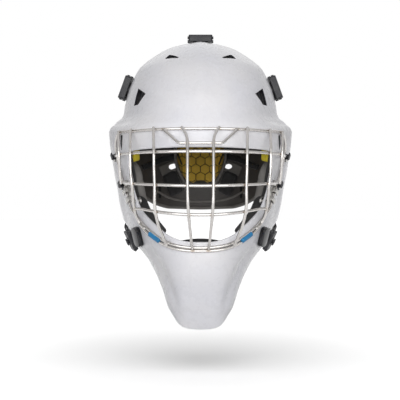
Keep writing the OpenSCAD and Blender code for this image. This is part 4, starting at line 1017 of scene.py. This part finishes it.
def platePoint(k, z, off=0.0):
    # the same surface by its wrap angle w = k * wrap(z): x goes with sin w and y with cos w
    k, z = np.broadcast_arrays(np.asarray(k, float), np.asarray(z, float))
    r, w = 1 - heightShare(z) ** 2.6, np.radians(k * curve(wrapRows, z))
    p = np.stack([np.sign(w) * plate["half"] * (r * np.sin(w) ** 2) ** (1 / 2.4),
                  plate["centre"][0] + plateDeep * (r * np.cos(w) ** 2) ** (1 / 2.2), z], -1)
    n = unit(np.stack([2.4 * np.sign(w) * (np.abs(p[..., 0]) / plate["half"]) ** 1.4 / plate["half"],
                       2.2 * ((p[..., 1] - plate["centre"][0]) / plateDeep) ** 1.2 / plateDeep,
                       2.6 * np.sign(z - plate["centre"][1]) * heightShare(z) ** 1.6 / plate["spread"]], -1))
    return p + off * n


def backPrism(name, x, z, circles):
    # a cutter straight through the plate from front to back, round a few circles beside (x, z)
    ring = hullOutline(circles, 4)
    m = len(ring)
    points = np.vstack([np.stack([x + ring[:, 0], np.full(m, y), z + ring[:, 1]], -1) for y in (-60, 160)])
    return newObject(name, points, capped(2, m), finish["plate"], smooth=False)


def makePlate():
    k = np.linspace(-1, 1, plate["cells"][1])[None, :]
    z = np.linspace(plate["bottom"], plate["top"], plate["cells"][0])[:, None]
    body = slab("backplateMoulding", platePoint(k, z), platePoint(k, z, -plate["thick"]), finish["plate"],
                plate["rim"], plate["bulge"])
    r, half = plate["slotRound"], strapSlots["top"]
    holes = [("holeTop", 0, strapEnds["top"] - 6, [(-half, 0, r), (half, 0, r)])]
    for s in (-1, 1):
        holes.append((f"holeVent{s}", s * plateVent[0], *plateVent[1:]))
        holes.append((f"holeHigh{s}", s * 24, 86, [(0, -12, 4), (s * 5, 14, 4)]))
        for name in ("side", "jaw"):
            (x, height), half = strapEnds[name], strapSlots[name]
            holes.append((f"hole{name}{s}", s * (x - 5), height, [(0, -half, r), (0, half, r)]))
    cutAway(body, [backPrism(*h) for h in holes])
    softShade(body, plate["sharp"])
    declare(body, "backplate_assembly", "plate_plastic", "backplate")


def roundOutline(k):
    # share of the way round a closed outline, as a side share from -1 to 1 and a height share from 0 to 1
    k = np.asarray(k, float)
    side = np.interp(k, [0, .35, .5, .85, 1], [1, 1, -1, -1, 1])
    return side, np.interp(k, [0, .35, .5, .85, 1], [0, 1, 1, 0, 0])


def makeTrim():
    # the soft bead clipped over the plate's edge
    side, height = roundOutline(np.linspace(0, 1, plate["beadSteps"], endpoint=False))
    tall, middle = plate["top"] - plate["bottom"], -plate["thick"] / 2
    edge = platePoint(side, plate["bottom"] + height * tall, middle)
    inward = platePoint(side * .9, plate["bottom"] + (.5 + (height - .5) * .9) * tall, middle)
    path = edge + plate["beadOut"] * unit(edge - inward)
    for _ in range(6):
        path = (np.roll(path, 1, 0) + 2 * path + np.roll(path, -1, 0)) / 4
    ups = [unit(path - [0, 20, 40])]
    obj = tubes("backplateTrim", [path], plate["bead"], finish["bead"], True, plate["beadSides"], ups)
    declare(obj, "backplate_assembly", "plate_plastic", "backplate_trim")


def hexEdge(x, z, across):
    # distance to the nearest side of a hexagon grid: the nearer of two offset lattices gives the cell's centre
    step = np.array([across, across * 3**.5])
    p = np.stack([x, z], -1)
    a, b = np.mod(p, step) - step / 2, np.mod(p - step / 2, step) - step / 2
    near = np.abs(np.where(((a**2).sum(-1) < (b**2).sum(-1))[..., None], a, b))
    return across / 2 - np.maximum(near[..., 0], near[..., 0] * .5 + near[..., 1] * 3**.5 / 2)


def toSegment(x, z, a, b):
    # distance of (|x|, z) from the nearest point a + t (b - a) of a segment, with t held between 0 and 1
    p, a, b = np.stack([np.abs(x), z], -1), np.array(a, float), np.array(b, float)
    t = np.clip(((p - a) @ (b - a)) / ((b - a) @ (b - a)), 0, 1)
    return np.linalg.norm(p - a - t[..., None] * (b - a), axis=-1)


def napeGroove(x, z):
    # 1 in the lines between the hexagons, up to 1.2 in the slots by the upper corners and in the notch below, else 0
    lines = 1 - ease((hexEdge(x, z, napeCut["across"]) - .25) / .5)
    slots = 1 - ease((toSegment(x, z, *napeCut["slash"]) - .8) / .7)
    x0, z0, rx, rz = napeCut["notch"]
    notch = 1 - ease((np.hypot((x - x0) / rx, (z - z0) / rz) - .85) / .25)
    return np.maximum(np.maximum(lines * ease((31 - np.abs(x)) / 3), slots * 1.2), notch * 1.2)


def makeNape():
    z0, z1 = napeCut["rows"][0][0], napeCut["rows"][-1][0]

    def spot(a, b):
        z = z0 + (b + 1) / 2 * (z1 - z0)
        x = a * curve(napeCut["rows"], z)
        return backPoint(x, z), backNormal(x, z)
    pad = cushion("napePad", spot, napeCut, finish["hex"], "backplate_assembly", "yellow_foam", ["nape_pad"],
                  lambda base, rise: napeCut["groove"] * napeGroove(base[..., 0], base[..., 2]) * rise)
    # the groove attribute also carries the painted shade in the grooves, slots and notch
    co = readPoints(pad.data)
    layer = pad.data.attributes.new("groove", "FLOAT", "POINT")
    layer.data.foreach_set("value", np.clip(napeGroove(co[:, 0], co[:, 2]), 0, 1).astype(np.float32))
    k = np.linspace(0, 2 * np.pi, 260, endpoint=False)
    c, s = np.cos(k), np.sin(k)
    scale = 1 / (np.abs(c) ** 6 + np.abs(s) ** 6) ** (1 / 6)
    height = (z0 + z1) / 2 + s * scale * ((z1 - z0) / 2 + 2.6)
    across = c * scale * (curve(napeCut["rows"], height) + 3.2)
    path = backPoint(across, height, -6.0)
    obj = tubes("napePadFrame", [path], 2.1, finish["bead"], True, 14, [backNormal(across, height)])
    declare(obj, "backplate_assembly", "grey_rubber", "nape_pad_frame")


ribbonEdge = .35  # millimetres of rounding at a ribbon's edge
ribbons = [  # piece, path of [x, z], widths, depth, thickness, material, slot; each on both sides
    ("plateArm", [(-33.5, 16.5), (-44, 12.5), (-56, 7.5)], (13, 13.5, 13), 3.0, 1.6, "bead", "plate_plastic"),
    ("cradleBand", [(-37, 28), (-52, 24.5), (-66, 18.5), (-80, 12)], (7, 7, 6.5, 6), 3.0, 2.2, "strap", "webbing"),
    ("plateRib", [(-28.5, 6), (-24.5, -6), (-21, -18)], (3, 3, 2.5), 3.0, 2.6, "bead", "plate_plastic"),
    ("lipRib", [(-60, -20), (-42, -29), (-22, -33), (-.2, -34.2)], (2.4, 2.4, 2.4, 2.4), 3.0, 1.2, "bead",
     "plate_plastic"),
]


def backRibbon(name, keys, width, depth, thick, material):
    # a flat moulded or webbing strip that lies on the plate's inner face along a path of [x, z]
    path = spline(keys, 60)
    t = np.gradient(path, axis=0)
    side = unit(np.stack([-t[:, 1], t[:, 0]], -1))
    wide = np.interp(np.linspace(0, 1, len(path)), np.linspace(0, 1, len(width)), width)
    across = np.linspace(-.5, .5, 13)
    spread = path[:, None] + across[None, :, None] * (wide[:, None] * side)[:, None]
    crest = ribbonEdge * (1 - np.abs(2 * across) ** 6)[None, :]
    upper = backPoint(spread[..., 0], spread[..., 1], -(depth + thick - ribbonEdge + crest))
    lower = backPoint(spread[..., 0], spread[..., 1], -np.full(spread.shape[:2], float(depth)))
    return slab(name, upper, lower, finish[material], bulge=ribbonEdge)


def makePlateDetail():
    for name, keys, width, depth, thick, material, slot in ribbons:
        right = backRibbon(name + "Right", keys, width, depth, thick, material)
        if name == "plateArm":
            # the plate's vent goes on through the arm that lies over it
            cutAway(right, [backPrism("armVent", -plateVent[0], plateVent[1], plateVent[2])])
        for piece in (right, mirrored(right, name + "Left")):
            declare(piece, "backplate_assembly", slot)


def makeWedges():
    # black foam blocks whose sides lean in towards the nape
    def spot(a, b):
        z = -9 + b * 15 + a * -4.4
        x = 39 + a * 9.4 + b * 6.2
        return backPoint(x, z), backNormal(x, z)
    cushionPair("backplatePad", spot, wedgeCut, finish["dark"], "backplate_assembly", "dark_foam",
                ["backplate_pads"], [])


makePlate()
makeTrim()
makeNape()
makePlateDetail()
makeWedges()
print("stage 7: backplate")


# straps
strapCut = dict(thick=2.0, seat=1.3, steps=150, section=30)
stitchCut = dict(spots=(.06, .1, .8, .835), run=2.3, pitch=3.2, edge=2, points=6, radius=.28, proud=.18, dip=.45,
                 sides=6)


# a key is a place on the route and the outward direction there
def sideKey(y, z, lift):
    # on the side of the shell, seat + lift off it
    return lifted(onSide(y, z), strapCut["seat"] + lift), normalAt(np.array(onSide(y, z)))


def backKey(x, z, lift=0.0):
    # on the backplate, seat + lift off it
    return backPoint(float(x), float(z), strapCut["seat"] + lift), backNormal(np.array(float(x)), np.array(float(z)))


def crownKey(y, lift):
    # on the middle of the crown, aimed at the height 0.97 crown - 0.003 (y - 15)^2 behind y = 15
    target = np.array([0, y, .97 * crown - max(0, y - 15) ** 2 * .003])
    return lifted(target, strapCut["seat"] + lift), normalAt(target)


def freeKey(place, normal):
    # anywhere, in the open
    return np.array(place, float), np.array(normal, float)


straps = {  # start and end, in metres, mark where a blend from mask to backplate would begin and end; they are not used
    "top": dict(width=22, start=(0, .055, .172), end=(0, .096, .142),
                keys=[crownKey(46.2, .1), crownKey(52, .7), crownKey(60, .6), crownKey(68, .6),
                      freeKey([0, 78, 161.5], [0, .6, .8]), backKey(0, 143, .8), backKey(0, 134), backKey(0, 126)]),
    "side": dict(width=22, start=(.099, .049, .112), end=(.074, .078, .094),
                 keys=[sideKey(43, 112.6, 2.4), sideKey(49, 112.2, 4), freeKey([90, 58, 108.5], [.92, .32, .25]),
                       freeKey([83.5, 65, 102.5], [.88, .4, .23]), backKey(73, 95, 1.2), backKey(66, 93),
                       backKey(58, 92)]),
    "jaw": dict(width=18, start=(.090, .012, -.068), end=(.072, .08, -.025),
                keys=[sideKey(-32.5, -78, .9), sideKey(-20, -76.5, .1), sideKey(-6, -74, .4), sideKey(5, -71, 2.6),
                      freeKey([float(sideX(12, -66)) + .5, 24, -63], [.95, .3, -.1]),
                      freeKey([87, 44, -46], [.9, .45, 0]), backKey(75, -27, 2.4), backKey(66, -22.5, .4),
                      backKey(51, -20)]),
}


def strapFrame(keys):
    # along the route its direction, side = up x along, and up made square to both
    path = spline([k[0] for k in keys], strapCut["steps"])
    up = unit(spline([k[1] for k in keys], strapCut["steps"]))
    along = unit(np.gradient(path, axis=0))
    side = unit(np.cross(up, along))
    return path, along, side, np.cross(along, side)


def webStrap(name, keys, width):
    # a section x = |cos a|^0.35 width / 2, y = |sin a|^0.55 thick / 2, with their signs, carried along the route
    path, along, side, up = strapFrame(keys)
    angle = np.linspace(0, 2 * np.pi, strapCut["section"], endpoint=False)
    c, s = np.cos(angle), np.sin(angle)
    x = np.sign(c) * np.abs(c) ** .35 * width / 2
    y = np.sign(s) * np.abs(s) ** .55 * strapCut["thick"] / 2
    p = path[:, None] + x[None, :, None] * side[:, None] + y[None, :, None] * up[:, None]
    obj = newObject(name, p.reshape(-1, 3), capped(*p.shape[:2]), finish["strap"])
    mapStrap(obj, path, along, side)
    return obj


def mapStrap(obj, path, along, side):
    # strapMap, in millimetres: the length of the route up to the nearest step, and the offsets along and across there
    mesh = obj.data
    co = readPoints(mesh)
    near = np.linalg.norm(co[:, None] - path[None], axis=-1).argmin(1)
    arc = np.concatenate([[0], np.cumsum(np.linalg.norm(np.diff(path, axis=0), axis=1))])
    off = co - path[near]
    flat = np.stack([arc[near] + (off * along[near]).sum(1), (off * side[near]).sum(1)], -1)
    corner = np.empty(len(mesh.loops), np.int32)
    mesh.loops.foreach_get("vertex_index", corner)
    layer = mesh.uv_layers.new(name="strapMap")
    layer.data.foreach_set("uv", flat[corner].astype(np.float32).ravel())


def stitches(name, keys, width):
    # rows of thread across the web, each stitch a short tube that dips by dip * (2 run / length - 1)^4 at both ends
    path, along, side, up = strapFrame(keys)
    length, edge, count = stitchCut["run"], stitchCut["edge"], stitchCut["points"]
    run = np.linspace(0, length, count)
    rise = strapCut["thick"] / 2 + stitchCut["proud"] - stitchCut["dip"] * (2 * run / length - 1) ** 4
    paths, ups = [], []
    for share in stitchCut["spots"]:
        i = int(share * (len(path) - 1))
        for k in np.arange(-width / 2 + edge, width / 2 - edge - 1, stitchCut["pitch"]):
            paths.append(path[i] + (k + run)[:, None] * side[i] + rise[:, None] * up[i])
            ups.append(np.repeat(up[i][None], count, 0))
    return tubes(name, paths, stitchCut["radius"], finish["thread"], False, stitchCut["sides"], ups)


def makeStraps():
    for key, cut in straps.items():
        left = [webStrap(key + "Strap", cut["keys"], cut["width"]),
                stitches(key + "Stitches", cut["keys"], cut["width"])]
        if key == "top":
            sides = [(1, "top_strap", left)]
        else:
            right = [mirrored(piece, piece.name + "Right") for piece in left]
            sides = [(1, key + "_strap_left", left), (-1, key + "_strap_right", right)]
        for side, node, pieces in sides:
            for piece in pieces:
                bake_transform(piece)
            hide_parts(node)


makeStraps()
print("stage 8: straps")


# chin cup
cup = dict(rim=(0, -70, -.381 * chin - 12), width=62, length=44, depth=15, thick=2.4, middle=.16, sharp=40,
           holes=6, holeAt=.58, holeDown=8, hole=[(-3.2, 0, 1.7), (3.2, 0, 1.7)])
cupPad = dict(under=(59, 41, 2.7, 15), upper=(55.5, 37.5, 4.4, 11), middle=.2, cells=(120, 40), rim=7, bulge=1.4,
              press=.7, pressWidth=.16, pressed=(46, 84))  # width, length, height over the cup's rim and depth


def cupGrid(width, length, z0, depth, hole, cells=(120, 34)):
    # k from the middle hole to the rim: x = k w/2 cos a, y = k l/2 sin a off the rim's middle,
    # z falls by depth (1 - k^2), and the rim's sides dip by 3 cos^2 a
    a, k = np.linspace(0, 2 * np.pi, cells[0], endpoint=False)[:, None], np.linspace(hole, 1, cells[1])[None, :]
    return np.stack([k * width / 2 * np.cos(a), cup["rim"][1] + k * length / 2 * np.sin(a),
                     z0 - depth * (1 - k**2) - 3 * k**2 * np.cos(a) ** 2], -1)


def makeChinCup():
    (_, yRim, zRim), width, length, middle = cup["rim"], cup["width"], cup["length"], cup["middle"]
    p = slabPoints(cupGrid(width, length, zRim, cup["depth"], middle),
                   cupGrid(width - 1, length - 1, zRim + cup["thick"], cup["depth"], middle), 5, 1.1)
    body = newObject("chinCupMoulding", p.reshape(-1, 3), quads(*p.shape[:2], True, True), finish["cap"])
    cutters = []
    for k in range(cup["holes"]):
        a = math.radians(30 + 360 / cup["holes"] * k)
        c, s = math.cos(a), math.sin(a)
        x, y = cup["holeAt"] * (width / 2) * c, yRim + cup["holeAt"] * (length / 2) * s
        spot = np.array([x, y, zRim - cup["holeDown"]])
        axes = (np.array([c, s, 0]), np.array([-s, c, 0]), np.array([0, 0, 1.]), spot)
        cutters.append(prism(f"cupHole{k}", hullOutline(cup["hole"], 3), axes))
    cutAway(body, cutters)
    softShade(body, cup["sharp"])
    declare(body, "chin_cup_assembly", "black_plastic", "chin_cup")
    under, upper = (cupGrid(w, l, zRim + up, deep, cupPad["middle"], cupPad["cells"])
                    for w, l, up, deep in (cupPad["under"], cupPad["upper"]))
    q = slabPoints(under, upper, cupPad["rim"], cupPad["bulge"])
    rows, cols = q.shape[:2]
    k, column = np.arange(rows)[:, None], np.arange(cols)[None, :]
    first, last = cupPad["pressed"]
    q[..., 2] -= (cupPad["press"] * bell(np.sin(3 * np.pi * 2 * k / rows), cupPad["pressWidth"])
                  * (column > first) * (column < last))
    pad = newObject("chinCupPad", q.reshape(-1, 3), quads(rows, cols, True, True), finish["dark"])
    declare(pad, "chin_cup_assembly", "dark_foam", "chin_cup_pad")


makeChinCup()
print("stage 9: chin cup")


# clips, screws, nuts and rivets: merged copies of the solids with their edges rounded
hardware = [  # node, material, slot, body, edge radius in mm
    ("cage_hook_clips", "black", "black_plastic", "mask", .45),
    ("cage_side_clips", "steel", "small_steel", "mask", .25),
    ("cage_clip_nuts", "steel", "small_steel", "mask", .2),
    ("vent_inserts", "black", "black_plastic", "mask", .3),
    ("jaw_caps", "cap", "cap_plastic", "mask", 1.3),
    # the clip bases are steel pins and discs, drawn here in black nylon as painted shade between the side clips and the
    # shell
    ("clip_bases", "black", "black_plastic", "mask", .25),
    ("harness_nuts", "steel", "small_steel", "mask", .2),
    ("top_clip", "black", "black_plastic", "mask", .7),
    ("side_clip_left", "black", "black_plastic", "side_clip_left", .7),
    ("side_clip_right", "black", "black_plastic", "side_clip_right", .7),
    ("jaw_clip_left", "black", "black_plastic", "jaw_clip_left", .7),
    ("jaw_clip_right", "black", "black_plastic", "jaw_clip_right", .7),
    ("strap_rivets", "steel", "small_steel", "backplate_assembly", .3),
    ("chin_snaps", "steel", "small_steel", "mask", .3),
    ("chin_straps", "black", "webbing", "chin_cup_assembly", .5),
]


hookShare = 0.3  # the cage's clips, screws and nuts go out by this share of the flares' fullness
jawStud = dict(place=np.array([82.8, -45, -79.5]), axis=np.array([.8856, -.1679, -.4329]), flatter=.7)
edgeCut = dict(segments=3, angle=32, sharp=42)
screwCut = dict(edge=.15, half=.5, reach=2.2, lift=4)  # the cross recess: half its arm's width, and the arm's reach


def camelCase(node):
    first, *rest = node.split("_")
    return first + "".join(word.title() for word in rest)


def solidCopy(node, material):
    # the solid's own mesh with its flat faces merged
    b = bmesh.new()
    b.from_mesh(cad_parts[node].data)
    bmesh.ops.remove_doubles(b, verts=b.verts, dist=mergeReach)
    bmesh.ops.dissolve_limit(b, angle_limit=math.radians(1), verts=b.verts, edges=b.edges)
    mesh = bpy.data.meshes.new(camelCase(node))
    b.to_mesh(mesh)
    b.free()
    co = readPoints(mesh)
    if node.startswith("cage_"):
        co[:, 0] += np.sign(co[:, 0]) * swell(co[:, 1], co[:, 2]) * hookShare
        writePoints(mesh, co)
    if node.startswith("jaw_clip"):
        # pressed flatter against the shell along the stud's own axis, which leaves the pivot where it is
        side = np.sign(co[:, 0].mean())
        axis, pivot = jawStud["axis"] * [side, 1, 1], jawStud["place"] * [side, 1, 1]
        co -= (1 - jawStud["flatter"]) * ((co - pivot) @ axis)[:, None] * axis
        writePoints(mesh, co)
    mesh.materials.append(finish[material])
    return linked(camelCase(node), mesh)


def roundEdges(obj, radius):
    # a rounding of this radius, in millimetres, along every edge sharper than the angle
    step = obj.modifiers.new("roundEdges", "BEVEL")
    step.width, step.segments = radius * mm, edgeCut["segments"]
    step.limit_method, step.angle_limit = "ANGLE", math.radians(edgeCut["angle"])
    step.use_clamp_overlap = True
    applyAll(obj)
    softShade(obj, edgeCut["sharp"])


def screwFrames():
    # frames on the outer ends of the cage's screws: two beside the frame's side, two in the cheek clip
    frames = []
    for y, z, up in ((-45, eyeZ - 1, (0, 10, 20)), (-58, 4 + midZ, (8, 10, 26))):
        x, v, n, p = onShell(onSide(y, z), up)
        frames.append((x, v, n, p + 10.5 * x + 2.2 * n))
    x, v, n, p = onShell(onSide(-67, -26), (14, 16, 27))
    return frames + [(x, v, n, p - 8 * x + k * 14 * v + 3.5 * n) for k in (-1, 1)]


def makeHardware():
    for node, material, slot, body, radius in hardware:
        obj = solidCopy(node, material)
        roundEdges(obj, radius)
        declare(obj, body, slot, node)
    screws = solidCopy("cage_clip_screws", "steel")
    a, b = screwCut["half"], screwCut["reach"]
    cross = [(a, a), (a, b), (-a, b), (-a, a), (-b, a), (-b, -a), (-a, -a), (-a, -b), (a, -b), (a, -a), (b, -a), (b, a)]
    cutters = [prism(f"recess{k}", cross, f, 0, screwCut["lift"]) for k, f in enumerate(screwFrames())]
    cutAway(screws, cutters + [mirrored(c, c.name + "Right") for c in cutters])
    roundEdges(screws, screwCut["edge"])
    declare(screws, "mask", "small_steel", "cage_clip_screws")


makeHardware()
print("stage 10: hardware")
